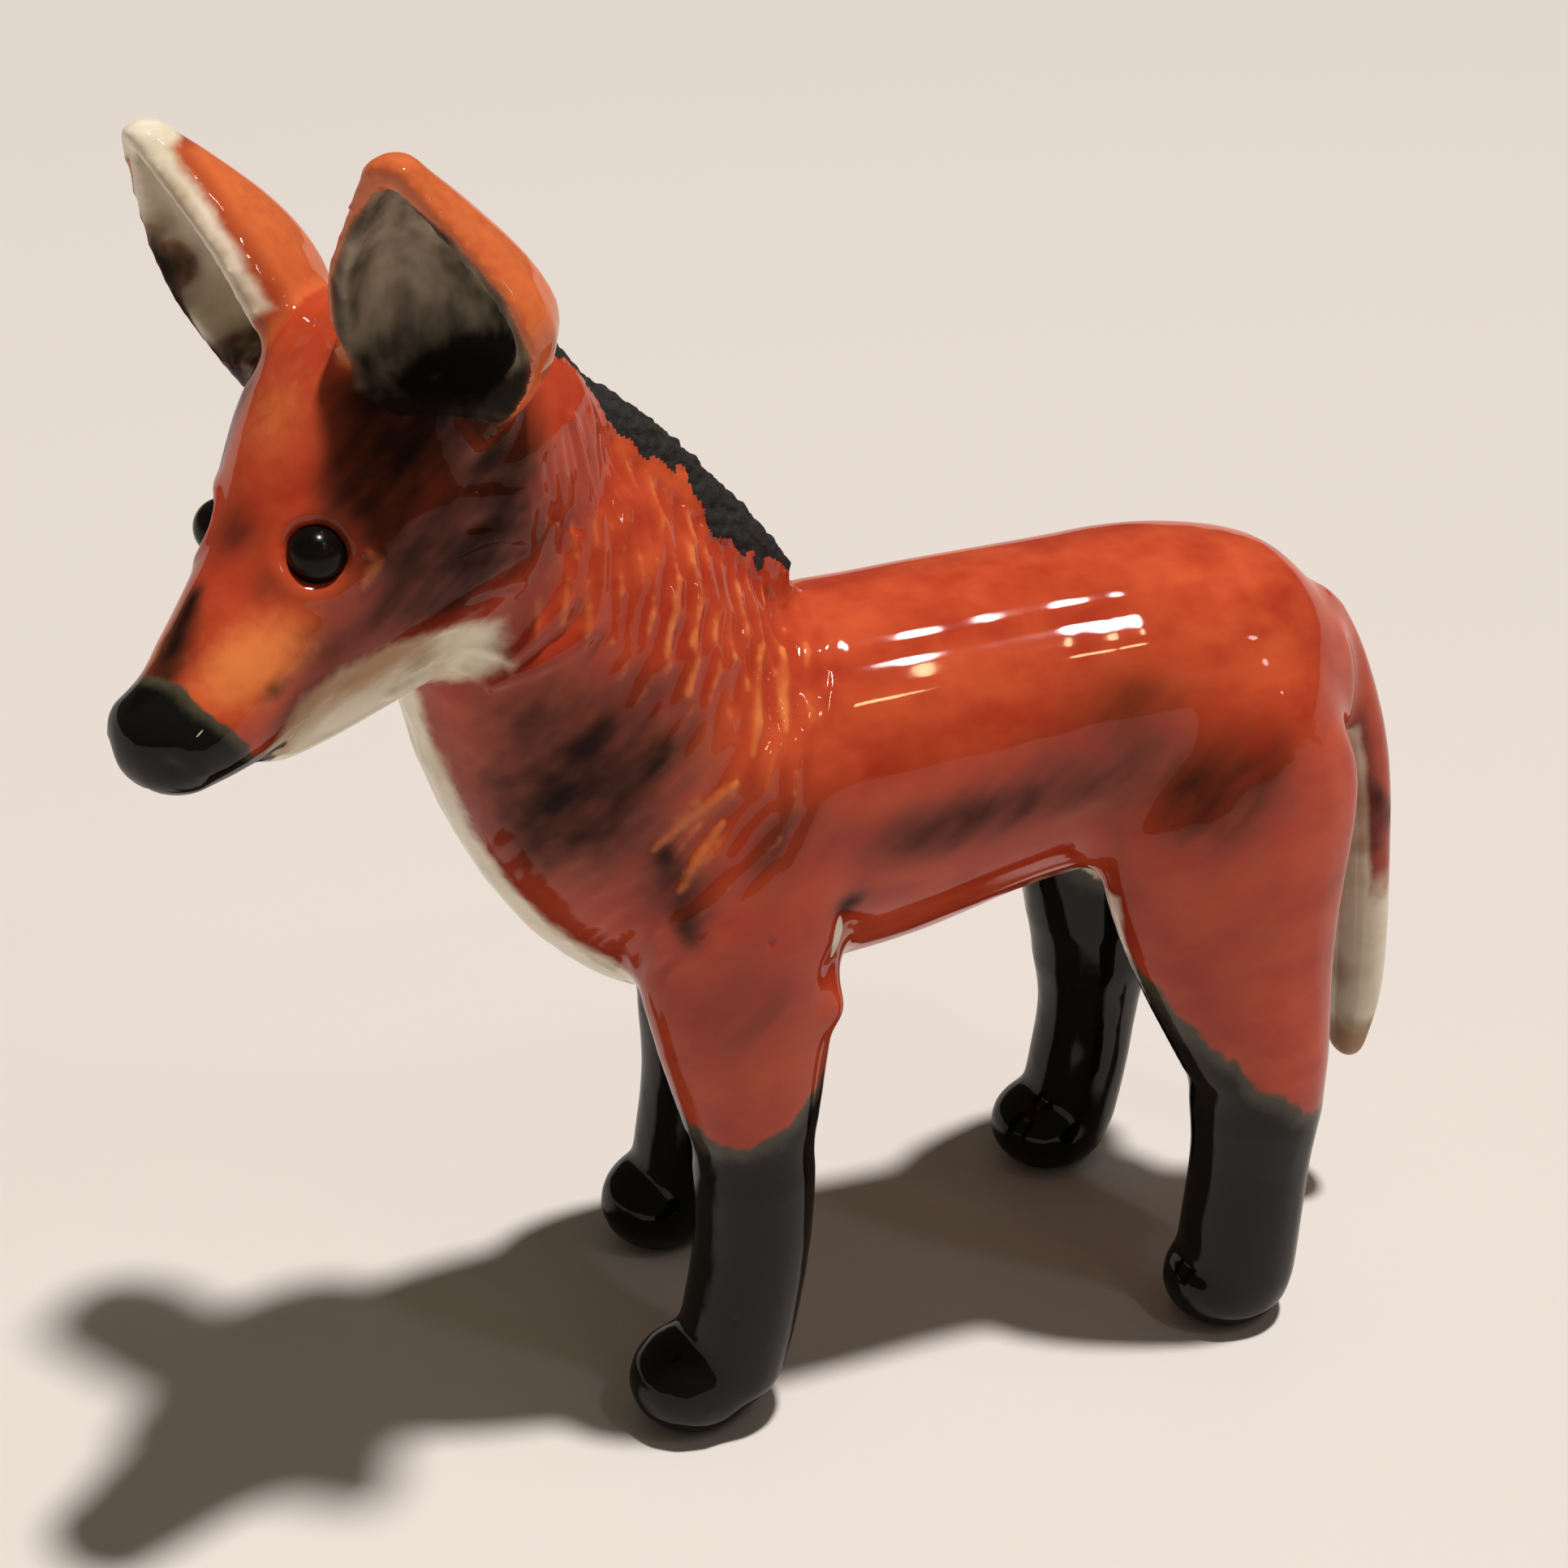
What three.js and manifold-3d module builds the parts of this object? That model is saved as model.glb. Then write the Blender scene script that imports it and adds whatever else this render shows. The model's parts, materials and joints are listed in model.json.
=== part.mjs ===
// Ceramic maned wolf figurine: clay elements shaped by hand, luted together with slip, then glazed.
// Millimetres. +X is the way the body faces, +Y is the wolf's left, +Z is up, the soles stand on z = 0.
import * as THREE from "three";
import { mergeVertices } from "three/addons/utils/BufferGeometryUtils.js";
import Module from "manifold-3d";

const wasm = await Module();
wasm.setup();

// Joints between the clay elements
const SLIP = 0.3; // layer of slip left between two luted faces
const NECK_TENON = { long: 7, wide: 14, tall: 16 }; // stub on the neck that keys into the trunk
const LEG_TENON = { long: 8, across: 5.6, round: 1.4 }; // stub on each leg coil that keys into the limb above
const STUB_ROOT = 0.3; // how far a stub is sunk into the element it belongs to

// Facets
const BODY_SIDES = 22;
const LIMB_SIDES = 14;
const SMALL_SIDES = 12;
const STEPS = 2; // rings added between two sections of a loft
const DOME_RINGS = 2; // rings that close a rounded end
const SAME_POINT = 1e-4; // points this close are one

// Trunk. Its axis is level; sections give the reach above and below the axis and the full width.
const SPINE_HEIGHT = 56; // trunk axis above the floor
const TRUNK_LENGTH = 49; // neck joint to the last section, before the rounded rump
const RUMP_ROUND = 3;
const NECK_JOINT = { above: 15.6, below: 17.2, wide: 27.2 };
const RIBS = { fromNeck: 11, above: 15.8, below: 16, wide: 26.4 };
const LOIN = { fromNeck: 23, above: 16.1, below: 13, wide: 25.2 };
const CROUP = { fromRump: 14.5, above: 16.2, below: 12.2, wide: 25.6 };
const HIPS = { fromRump: 5, above: 14, below: 10.6, wide: 22.6 };
const RUMP = { above: 9.4, below: 6.5, wide: 16 };

// Neck and chest. Nape and throat points [x, z] lie in the mid plane, from the trunk joint and its axis.
const NECK_SECTIONS = [
  { nape: [0.6, 16.8], throat: [12, -17.2], wide: 26.8 },
  { nape: [1.6, 19.2], throat: [21.6, -9.4], wide: 25.6 },
  { nape: [5.5, 24.5], throat: [27.8, 2.8], wide: 24 },
  { nape: [10, 29.5], throat: [30.4, 13.2], wide: 21.6 },
  { nape: [16, 35.2], throat: [31.5, 21], wide: 18.6 },
];
const NECK_TOP_ROUND = 3;

// Mane: a rough crest along the nape. Sections run down the nape from behind the ears.
const MANE_SECTIONS = [
  { crest: [17.5, 39.5], root: [20.5, 34.5], wide: 4 },
  { crest: [11.8, 34.8], root: [15, 30.5], wide: 4.8 },
  { crest: [6.4, 29.4], root: [10, 25.5], wide: 5 },
  { crest: [1.5, 23.6], root: [5.4, 20.5], wide: 4.8 },
  { crest: [-2, 18.6], root: [1.5, 15.5], wide: 3.6 },
];
const MANE_ROUND = 1.5;

// Head, in its own frame: +X to the nose, origin inside the skull
const HEAD_SEAT = [5.2, 1.9, 3.2]; // skull origin from the middle of the neck's top section
const HEAD_TURN = 30; // degrees to the wolf's left
const HEAD_NOD = 15.5; // degrees nose down
const HEAD_TILT = 8; // degrees, left ear up
const HEAD_SECTIONS = [
  { top: [-9.5, 9.5], bottom: [-12, -8], wide: 21 },
  { top: [-2.5, 14.6], bottom: [-4, -12.5], wide: 25.4 },
  { top: [4, 13.6], bottom: [5, -11.2], wide: 22.8 },
  { top: [10, 9.5], bottom: [11, -10], wide: 18 },
  { top: [15, 5], bottom: [16.5, -9.6], wide: 14 },
  { top: [20.5, 1.8], bottom: [21.5, -9.4], wide: 12.2 },
  { top: [25, -0.5], bottom: [25, -9.2], wide: 11.2 },
];
const SKULL_ROUND = 3.5;
const MUZZLE_ROUND = 2;
const JAW_SECTIONS = [
  { top: [3, -8], bottom: [3, -13], wide: 12 },
  { top: [9, -7.5], bottom: [9, -12.9], wide: 11 },
  { top: [15, -7], bottom: [15, -12.3], wide: 8.8 },
  { top: [20.5, -6.5], bottom: [20.2, -11.4], wide: 6.8 },
];
const JAW_ROUND = 1.5;
const NOSE = { at: [26.2, 0, -4.6], size: [8.8, 11, 8.4] };
const NOSTRIL = { ahead: 2.8, out: 3.5, rise: 0.2, across: 2.2 }; // from the middle of the nose
const EYE = { at: [12.5, 5.5, 3.1], across: 4.5 };

// Ears: pinched cups, half a cone open to the front. Own frame: +Z to the tip, +X the way the cup faces.
// The root is the left ear's; facing and lean are degrees outwards, back is degrees backwards.
const EAR_ROOT = { at: [1, 11.8, 9.2], facing: 13, back: 3 };
const LEFT_EAR_LEAN = 5;
const RIGHT_EAR_LEAN = 11;
// inset draws a section of the ear in towards the crown
const EAR_SECTIONS = [
  { height: -5, wide: 8.6, deep: 6, inset: 5.6 },
  { height: 0.5, wide: 14.2, deep: 7.4, inset: 1.6 },
  { height: 5.5, wide: 17.6, deep: 8, inset: 0 },
  { height: 10, wide: 15.6, deep: 6.8, inset: 0 },
  { height: 14.5, wide: 9.6, deep: 4.4, inset: 0 },
  { height: 18, wide: 4.4, deep: 2.2, inset: 0 },
];
const EAR_TIP_ROUND = 1.5;
const EAR_ROOT_ROUND = 1.5;
const EAR_RIM = 1.6; // thickness of the cup's wall
const EAR_LIP = 0.8; // how far the rim stands ahead of the widest line
const EAR_CUP_TOP_ROUND = 0.75;
const EAR_CUP_FLOOR = 1.5; // how far the cup starts above the second section

// Limbs. Each limb is an upper mass on the trunk and a leg coil keyed into it.
const ELBOW_HEIGHT = 28; // where the leg coils meet the upper limbs
const KNEE_HEIGHT = 25;
const SHOULDER_SET = 5.2; // shoulder line ahead of the neck joint
const HIP_SET = 8.1; // hip line ahead of the last trunk section
// Sections: rise is above the trunk axis; front and back reach from the limb's line; out from the mid plane
const SHOULDER_SECTIONS = [
  { rise: 6.5, front: 5.8, back: 6.2, out: 9, wide: 9 },
  { rise: -2.5, front: 9.3, back: 9, out: 10.2, wide: 11 },
  { rise: -13, front: 9, back: 7.4, out: 11.3, wide: 11.2 },
];
const SHOULDER_ROUND = 4;
const HAUNCH_SECTIONS = [
  { rise: 4.5, front: 10.4, back: 5.6, out: 8.8, wide: 9.4 },
  { rise: -3.5, front: 15.6, back: 8.4, out: 10.5, wide: 11 },
  { rise: -16.5, front: 13, back: 6.2, out: 12.5, wide: 11.6 },
];
const HAUNCH_ROUND = 4;
const FORE_JOINT_GIRTH = 10.4;
const HIND_JOINT_GIRTH = 12;
const ANKLE_HEIGHT = 10;
const HEEL_HEIGHT = 4.6;
const HEEL_ROUND = 2.4;
// Shares of the paw's reach that the leg has leaned forward
const ANKLE_LEAN = 0.25;
const HEEL_LEAN = 0.5;
const FORE_PAW = { long: 11.4, wide: 10, tall: 9.6, rise: 4.3 };
const HIND_PAW = { long: 11.6, wide: 10.2, tall: 8.8, rise: 3.9 };
// Stance: ahead is the leg's shift from the limb's line; reach is the paw's middle ahead of the leg
const STANCE = {
  left_fore: { ahead: 0, out: 12, reach: 5.5, girth: 9.8 },
  right_fore: { ahead: -2.8, out: 13, reach: 3.6, girth: 9.8 },
  left_hind: { ahead: 0.3, out: 13.8, reach: 1.4, girth: 10.4 },
  right_hind: { ahead: 4.2, out: 13, reach: 3.4, girth: 9.2 },
};

// Tail: a thick coil that keys into the rump and hangs behind the haunches
const TAIL_SECTIONS = [
  { outer: [-2, 9], inner: [2.5, 4], wide: 6 },
  { outer: [-5.5, 2.5], inner: [-1, 0], wide: 6.8 },
  { outer: [-8.7, -8], inner: [-4, -9], wide: 7 },
  { outer: [-10.1, -20], inner: [-5.5, -20.5], wide: 7 },
  { outer: [-10.7, -32], inner: [-6.3, -32], wide: 6.6 },
  { outer: [-9.7, -39.5], inner: [-6.9, -39.5], wide: 4.4 },
];
const TAIL_TIP_ROUND = 1.5;

// Glazes
const ORANGE_GLAZE = { color: 0xc4532b, roughness: 0.22, metalness: 0 };
const BLACK_GLAZE = { color: 0x1d1916, roughness: 0.25, metalness: 0 };
const MATTE_BLACK = { color: 0x211e1a, roughness: 0.75, metalness: 0 };
const CREAM_GLAZE = { color: 0xe6d9c6, roughness: 0.25, metalness: 0 };

// A section of a loft: an ellipse whose long axis runs from one outline point to the opposite one.
function section(from, to, wide) {
  const middle = from.clone().add(to).multiplyScalar(0.5);
  const half = from.clone().sub(to).multiplyScalar(0.5);
  return { middle, half, side: new THREE.Vector3(0, wide / 2, 0) };
}

function midPlaneSection(upper, lower, wide, origin) {
  const from = new THREE.Vector3(upper[0], 0, upper[1]).add(origin);
  const to = new THREE.Vector3(lower[0], 0, lower[1]).add(origin);
  return section(from, to, wide);
}

// Smooth value at t between the second and third of four vectors (Catmull-Rom).
function between(v, t) {
  const curve = new THREE.CatmullRomCurve3(v, false, "catmullrom", 0.5);
  return curve.getPoint((1 + t) / 3);
}

function smoothSections(sections) {
  const last = sections.length - 1;
  const pick = (i, key) => sections[THREE.MathUtils.clamp(i, 0, last)][key];
  const rings = [];
  for (let i = 0; i < last; i += 1) {
    for (let k = 0; k <= STEPS; k += 1) {
      const ring = {};
      for (const key of ["middle", "half", "side"]) {
        const four = [pick(i - 1, key), pick(i, key), pick(i + 1, key), pick(i + 2, key)];
        if (i === 0) four[0] = four[1].clone().multiplyScalar(2).sub(four[2]);
        if (i + 1 === last) four[3] = four[2].clone().multiplyScalar(2).sub(four[1]);
        ring[key] = between(four, k / (STEPS + 1));
      }
      rings.push(ring);
    }
  }
  rings.push(sections[last]);
  return rings;
}

// Lengthens the half axes of a ring by the clearance.
function grown(ring, clearance) {
  const longer = (v) => v.clone().setLength(v.length() + clearance);
  return { middle: ring.middle, half: longer(ring.half), side: longer(ring.side) };
}

// Rings that round off an end over the given length; a length of 0 leaves the end flat.
function domeRings(ring, outward, round) {
  const rings = [];
  for (let k = 1; k <= DOME_RINGS; k += 1) {
    const angle = (k / (DOME_RINGS + 1)) * (Math.PI / 2);
    const shift = outward.clone().multiplyScalar(round * Math.sin(angle));
    const shrink = Math.cos(angle);
    rings.push({
      middle: ring.middle.clone().add(shift),
      half: ring.half.clone().multiplyScalar(shrink),
      side: ring.side.clone().multiplyScalar(shrink),
    });
  }
  return rings;
}

// A closed loft through the sections. startRound and endRound round its ends; clearance swells it all over.
function loft(sections, { sides, startRound = 0, endRound = 0, clearance = 0 }) {
  const rings = smoothSections(sections).map((ring) => grown(ring, clearance));
  const last = rings.length - 1;
  const startWay = rings[0].side.clone().cross(rings[0].half).normalize();
  const endWay = rings[last].half.clone().cross(rings[last].side).normalize();
  if (startWay.dot(rings[0].middle.clone().sub(rings[1].middle)) < 0) startWay.negate();
  if (endWay.dot(rings[last].middle.clone().sub(rings[last - 1].middle)) < 0) endWay.negate();
  const start = startRound > 0 ? domeRings(rings[0], startWay, startRound + clearance).reverse() : [];
  const end = endRound > 0 ? domeRings(rings[last], endWay, endRound + clearance) : [];
  const poleStart = rings[0].middle.clone().addScaledVector(startWay, startRound + clearance);
  const poleEnd = rings[last].middle.clone().addScaledVector(endWay, endRound + clearance);
  if (startRound === 0) rings[0].middle.addScaledVector(startWay, clearance);
  if (endRound === 0) rings[last].middle.addScaledVector(endWay, clearance);
  return skin([...start, ...rings, ...end], poleStart, poleEnd, sides);
}

// Joins the rings with triangles and closes both ends on a pole.
function skin(rings, poleStart, poleEnd, sides) {
  const points = [];
  for (const ring of rings) {
    for (let j = 0; j < sides; j += 1) {
      const angle = (2 * Math.PI * j) / sides;
      const point = ring.middle.clone();
      point.addScaledVector(ring.half, Math.cos(angle)).addScaledVector(ring.side, Math.sin(angle));
      points.push(point);
    }
  }
  const startPole = points.push(poleStart) - 1;
  const endPole = points.push(poleEnd) - 1;
  const faces = [];
  const at = (i, j) => i * sides + (j % sides);
  for (let j = 0; j < sides; j += 1) {
    faces.push(startPole, at(0, j + 1), at(0, j));
    for (let i = 0; i + 1 < rings.length; i += 1) {
      faces.push(at(i, j), at(i, j + 1), at(i + 1, j + 1));
      faces.push(at(i, j), at(i + 1, j + 1), at(i + 1, j));
    }
    faces.push(endPole, at(rings.length - 1, j), at(rings.length - 1, j + 1));
  }
  const geometry = new THREE.BufferGeometry().setFromPoints(points);
  geometry.setIndex(faces);
  return volume(geometry) < 0 ? insideOut(geometry) : geometry;
}

function volume(geometry) {
  const place = geometry.attributes.position;
  const corner = [0, 1, 2].map(() => new THREE.Vector3());
  let sum = 0;
  for (let i = 0; i < geometry.index.count; i += 3) {
    corner.forEach((v, k) => v.fromBufferAttribute(place, geometry.index.getX(i + k)));
    sum += corner[0].dot(corner[1].cross(corner[2]));
  }
  return sum / 6;
}

function insideOut(geometry) {
  const index = Array.from(geometry.index.array);
  for (let i = 0; i < index.length; i += 3) [index[i], index[i + 1]] = [index[i + 1], index[i]];
  return geometry.setIndex(index);
}

function ellipsoid(at, size, sides, clearance = 0) {
  const shape = new THREE.SphereGeometry(1, sides, Math.round(sides / 2));
  shape.scale(...size.map((s) => s / 2 + clearance));
  return shape.translate(...at);
}

// Solids for joining and cutting
function solid(geometry) {
  const bare = new THREE.BufferGeometry();
  bare.setAttribute("position", geometry.attributes.position.clone());
  if (geometry.index) bare.setIndex(geometry.index.clone());
  const merged = mergeVertices(bare, SAME_POINT);
  const vertProperties = new Float32Array(merged.attributes.position.array);
  const triVerts = new Uint32Array(merged.index.array);
  return new wasm.Manifold(new wasm.Mesh({ numProp: 3, vertProperties, triVerts }));
}

function cut(body, ...tools) {
  return tools.reduce((rest, tool) => rest.subtract(solid(tool)), body);
}

function mesh(name, body, glaze) {
  const { vertProperties, triVerts } = body.getMesh();
  const geometry = new THREE.BufferGeometry();
  geometry.setAttribute("position", new THREE.BufferAttribute(new Float32Array(vertProperties), 3));
  geometry.setIndex(new THREE.BufferAttribute(new Uint32Array(triVerts), 1));
  geometry.computeVertexNormals();
  const piece = new THREE.Mesh(geometry, new THREE.MeshStandardMaterial(glaze));
  piece.name = name;
  return piece;
}

// Trunk
const spine = new THREE.Vector3(0, 0, SPINE_HEIGHT);

function trunkSection({ above, below, wide }, x) {
  return midPlaneSection([x, above], [x, -below], wide, spine);
}

function trunkShape(clearance = 0) {
  const sections = [
    trunkSection(NECK_JOINT, 0),
    trunkSection(RIBS, -RIBS.fromNeck),
    trunkSection(LOIN, -LOIN.fromNeck),
    trunkSection(CROUP, CROUP.fromRump - TRUNK_LENGTH),
    trunkSection(HIPS, HIPS.fromRump - TRUNK_LENGTH),
    trunkSection(RUMP, -TRUNK_LENGTH),
  ];
  return loft(sections, { sides: BODY_SIDES, endRound: RUMP_ROUND, clearance });
}

// Neck
function neckShape(clearance = 0) {
  const sections = NECK_SECTIONS.map((s) => midPlaneSection(s.nape, s.throat, s.wide, spine));
  sections.unshift(trunkSection(NECK_JOINT, SLIP));
  return loft(sections, { sides: BODY_SIDES, endRound: NECK_TOP_ROUND, clearance });
}

function neckTenonShape(clearance = 0) {
  const { long, wide, tall } = NECK_TENON;
  const stub = { above: tall / 2, below: tall / 2, wide };
  const sections = [trunkSection(stub, -long), trunkSection(stub, SLIP + STUB_ROOT)];
  return loft(sections, { sides: BODY_SIDES, startRound: SLIP, clearance });
}

function maneShape() {
  const sections = MANE_SECTIONS.map((s) => midPlaneSection(s.crest, s.root, s.wide, spine));
  return loft(sections, { sides: SMALL_SIDES, startRound: MANE_ROUND, endRound: MANE_ROUND });
}

// Tail
const rump = new THREE.Vector3(-TRUNK_LENGTH, 0, SPINE_HEIGHT);

function tailShape(clearance = 0) {
  const sections = TAIL_SECTIONS.map((s) => midPlaneSection(s.outer, s.inner, s.wide, rump));
  return loft(sections, { sides: LIMB_SIDES, startRound: SLIP, endRound: TAIL_TIP_ROUND, clearance });
}

// Limbs
function limbSection(line, out, side, front, back, height, wide) {
  const from = new THREE.Vector3(line + front, out * side, height);
  const to = new THREE.Vector3(line - back, out * side, height);
  return section(from, to, wide);
}

function upperLimbShape(limb) {
  const { sections, line, side, round } = limb;
  const rings = sections.map((s) =>
    limbSection(line, s.out, side, s.front, s.back, SPINE_HEIGHT + s.rise, s.wide));
  rings.push(legSection(limb, 0, limb.jointHeight + SLIP, limb.jointGirth));
  return loft(rings, { sides: LIMB_SIDES, startRound: round });
}

function legSection({ line, side, stance }, shift, height, girth) {
  return limbSection(line + stance.ahead + shift, stance.out, side, girth / 2, girth / 2, height, girth);
}

// A leg coil: a straight column that bends forward at the ankle into a round paw, cut flat at the sole.
function legShape(limb) {
  const { line, side, paw, stance, jointHeight, jointGirth } = limb;
  const column = loft(
    [
      legSection(limb, 0, jointHeight, jointGirth),
      legSection(limb, 0, (jointHeight + ANKLE_HEIGHT) / 2, stance.girth),
      legSection(limb, stance.reach * ANKLE_LEAN, ANKLE_HEIGHT, stance.girth),
      legSection(limb, stance.reach * HEEL_LEAN, HEEL_HEIGHT, stance.girth),
    ],
    { sides: LIMB_SIDES, endRound: HEEL_ROUND },
  );
  const toe = [line + stance.ahead + stance.reach, stance.out * side, paw.rise];
  const pad = ellipsoid(toe, [paw.long, paw.wide, paw.tall], LIMB_SIDES);
  const reach = 2 * SPINE_HEIGHT;
  const floor = new THREE.BoxGeometry(reach, reach, reach).translate(toe[0], toe[1], -reach / 2);
  return cut(solid(column).add(solid(pad)), floor).add(solid(legTenonShape(limb)));
}

function legTenonShape(limb, clearance = 0) {
  const ring = (height) => legSection(limb, 0, height, LEG_TENON.across);
  const sections = [ring(limb.jointHeight - STUB_ROOT), ring(limb.jointHeight + LEG_TENON.long)];
  return loft(sections, { sides: SMALL_SIDES, endRound: LEG_TENON.round, clearance });
}

const foreLimb = {
  sections: SHOULDER_SECTIONS,
  round: SHOULDER_ROUND,
  line: SHOULDER_SET,
  jointHeight: ELBOW_HEIGHT,
  jointGirth: FORE_JOINT_GIRTH,
  paw: FORE_PAW,
};
const hindLimb = {
  sections: HAUNCH_SECTIONS,
  round: HAUNCH_ROUND,
  line: HIP_SET - TRUNK_LENGTH,
  jointHeight: KNEE_HEIGHT,
  jointGirth: HIND_JOINT_GIRTH,
  paw: HIND_PAW,
};
const limbs = [
  { ...foreLimb, upper: "left_shoulder", leg: "left_fore_leg", side: 1, stance: STANCE.left_fore },
  { ...foreLimb, upper: "right_shoulder", leg: "right_fore_leg", side: -1, stance: STANCE.right_fore },
  { ...hindLimb, upper: "left_haunch", leg: "left_hind_leg", side: 1, stance: STANCE.left_hind },
  { ...hindLimb, upper: "right_haunch", leg: "right_hind_leg", side: -1, stance: STANCE.right_hind },
];

// Head group: turned, nodded and tilted on top of the neck
const radians = THREE.MathUtils.degToRad;
const neckTop = NECK_SECTIONS[NECK_SECTIONS.length - 1];
const headGroup = new THREE.Group();
headGroup.position.set(
  (neckTop.nape[0] + neckTop.throat[0]) / 2 + HEAD_SEAT[0],
  HEAD_SEAT[1],
  SPINE_HEIGHT + (neckTop.nape[1] + neckTop.throat[1]) / 2 + HEAD_SEAT[2],
);
headGroup.rotation.set(radians(HEAD_TILT), radians(HEAD_NOD), radians(HEAD_TURN), "ZYX");
headGroup.updateMatrix();
const intoHead = headGroup.matrix.clone().invert();
const skullOrigin = new THREE.Vector3();

function headShape(clearance = 0) {
  const sections = HEAD_SECTIONS.map((s) => midPlaneSection(s.top, s.bottom, s.wide, skullOrigin));
  return loft(sections, { sides: BODY_SIDES, startRound: SKULL_ROUND, endRound: MUZZLE_ROUND, clearance });
}

function jawShape() {
  const sections = JAW_SECTIONS.map((s) => midPlaneSection(s.top, s.bottom, s.wide, skullOrigin));
  return loft(sections, { sides: LIMB_SIDES, startRound: JAW_ROUND, endRound: JAW_ROUND });
}

function eyeShape(side, clearance = 0) {
  const [x, y, z] = EYE.at;
  return ellipsoid([x, side * y, z], [EYE.across, EYE.across, EYE.across], SMALL_SIDES, clearance);
}

function nostrilShape(side) {
  const { ahead, out, rise, across } = NOSTRIL;
  const [x, y, z] = NOSE.at;
  return ellipsoid([x + ahead, y + side * out, z + rise], [across, across, across], SMALL_SIDES);
}

// Ears, in the head's frame
function earPlace(side) {
  const [x, y, z] = EAR_ROOT.at;
  const { facing, back } = EAR_ROOT;
  const lean = side > 0 ? LEFT_EAR_LEAN : RIGHT_EAR_LEAN;
  const turn = new THREE.Euler(-side * radians(lean), -radians(back), side * radians(facing), "XYZ");
  return new THREE.Matrix4().makeRotationFromEuler(turn).setPosition(x, side * y, z);
}

function earCone(sections, side, ends, clearance) {
  const rings = sections.map((s) => {
    const from = new THREE.Vector3(s.deep, -side * s.inset, s.height);
    const to = new THREE.Vector3(-s.deep, -side * s.inset, s.height);
    return section(from, to, s.wide);
  });
  return loft(rings, { sides: LIMB_SIDES, ...ends, clearance }).applyMatrix4(earPlace(side));
}

function earBlank(side, clearance = 0) {
  const ends = { startRound: EAR_ROOT_ROUND, endRound: EAR_TIP_ROUND };
  return earCone(EAR_SECTIONS, side, ends, clearance);
}

// The cup: the blank drawn in by the wall, from its floor to the last section.
function earHollow(side) {
  const inside = EAR_SECTIONS.slice(1).map((s, i) => ({
    height: i === 0 ? s.height + EAR_CUP_FLOOR : s.height,
    wide: s.wide - 2 * EAR_RIM,
    deep: s.deep - EAR_RIM,
    inset: s.inset,
  }));
  return earCone(inside, side, { startRound: EAR_RIM, endRound: EAR_CUP_TOP_ROUND }, 0);
}

function earFront(side, clearance = 0) {
  const reach = 2 * SPINE_HEIGHT;
  const front = new THREE.BoxGeometry(reach, reach, reach);
  return front.translate(EAR_LIP + clearance + reach / 2, 0, 0).applyMatrix4(earPlace(side));
}

// Assembly: each element is cut by the swollen shape of what it is luted to
const wolf = new THREE.Group();

const trunk = cut(solid(trunkShape()), neckTenonShape(SLIP), tailShape(SLIP));
wolf.add(mesh("trunk", trunk, ORANGE_GLAZE));
wolf.add(mesh("neck", solid(neckShape()).add(solid(neckTenonShape())), ORANGE_GLAZE));
wolf.add(mesh("tail", solid(tailShape()), ORANGE_GLAZE));

for (const limb of limbs) {
  const seats = [trunkShape(SLIP), neckShape(SLIP), tailShape(SLIP), legTenonShape(limb, SLIP)];
  wolf.add(mesh(limb.upper, cut(solid(upperLimbShape(limb)), ...seats), ORANGE_GLAZE));
  wolf.add(mesh(limb.leg, legShape(limb), BLACK_GLAZE));
}

const onHead = [headShape(SLIP), earBlank(1, SLIP), earBlank(-1, SLIP)];
onHead.forEach((shape) => shape.applyMatrix4(headGroup.matrix));
const mane = cut(solid(maneShape()), neckShape(SLIP), trunkShape(SLIP), ...onHead);
wolf.add(mesh("mane", mane, MATTE_BLACK));

const neckInHead = neckShape(SLIP).applyMatrix4(intoHead);
const nosePad = (clearance) => ellipsoid(NOSE.at, NOSE.size, LIMB_SIDES, clearance);
const headTools = [neckInHead, nosePad(SLIP)];
for (const side of [1, -1]) headTools.push(eyeShape(side, SLIP));
let head = cut(solid(headShape()), ...headTools);
for (const side of [1, -1]) head = head.subtract(cut(solid(earBlank(side, SLIP)), earFront(side, SLIP)));
headGroup.add(mesh("head", head, ORANGE_GLAZE));
const lowerJaw = cut(solid(jawShape()), headShape(SLIP), neckInHead, nosePad(SLIP));
headGroup.add(mesh("lower_jaw", lowerJaw, CREAM_GLAZE));
const nostrils = [1, -1].map((side) => nostrilShape(side));
headGroup.add(mesh("nose", cut(solid(nosePad(0)), ...nostrils), BLACK_GLAZE));
for (const [word, side] of [["left", 1], ["right", -1]]) {
  const ear = cut(solid(earBlank(side)), earHollow(side), earFront(side), neckInHead);
  headGroup.add(mesh(`${word}_ear`, ear, ORANGE_GLAZE));
  headGroup.add(mesh(`${word}_eye`, solid(eyeShape(side)), BLACK_GLAZE));
}
wolf.add(headGroup);

// The origin is under the middle of the figurine, on the floor
const box = new THREE.Box3().setFromObject(wolf, true);
const middle = box.getCenter(new THREE.Vector3());
wolf.position.set(-middle.x, -middle.y, -box.min.z);

export default wolf;
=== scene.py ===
"""Ceramic maned wolf figurine: the modelled and glazed surface over its clay elements.

The clay elements are joined into one skin and their joints are smeared over. The fur and the face are
carved into the skin, the glazes are painted on its vertices, and it is divided into the elements again.
"""
import json
import math

import bpy
import numpy as np
from mathutils import Matrix, Vector, noise
from mathutils.bvhtree import BVHTree


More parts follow.
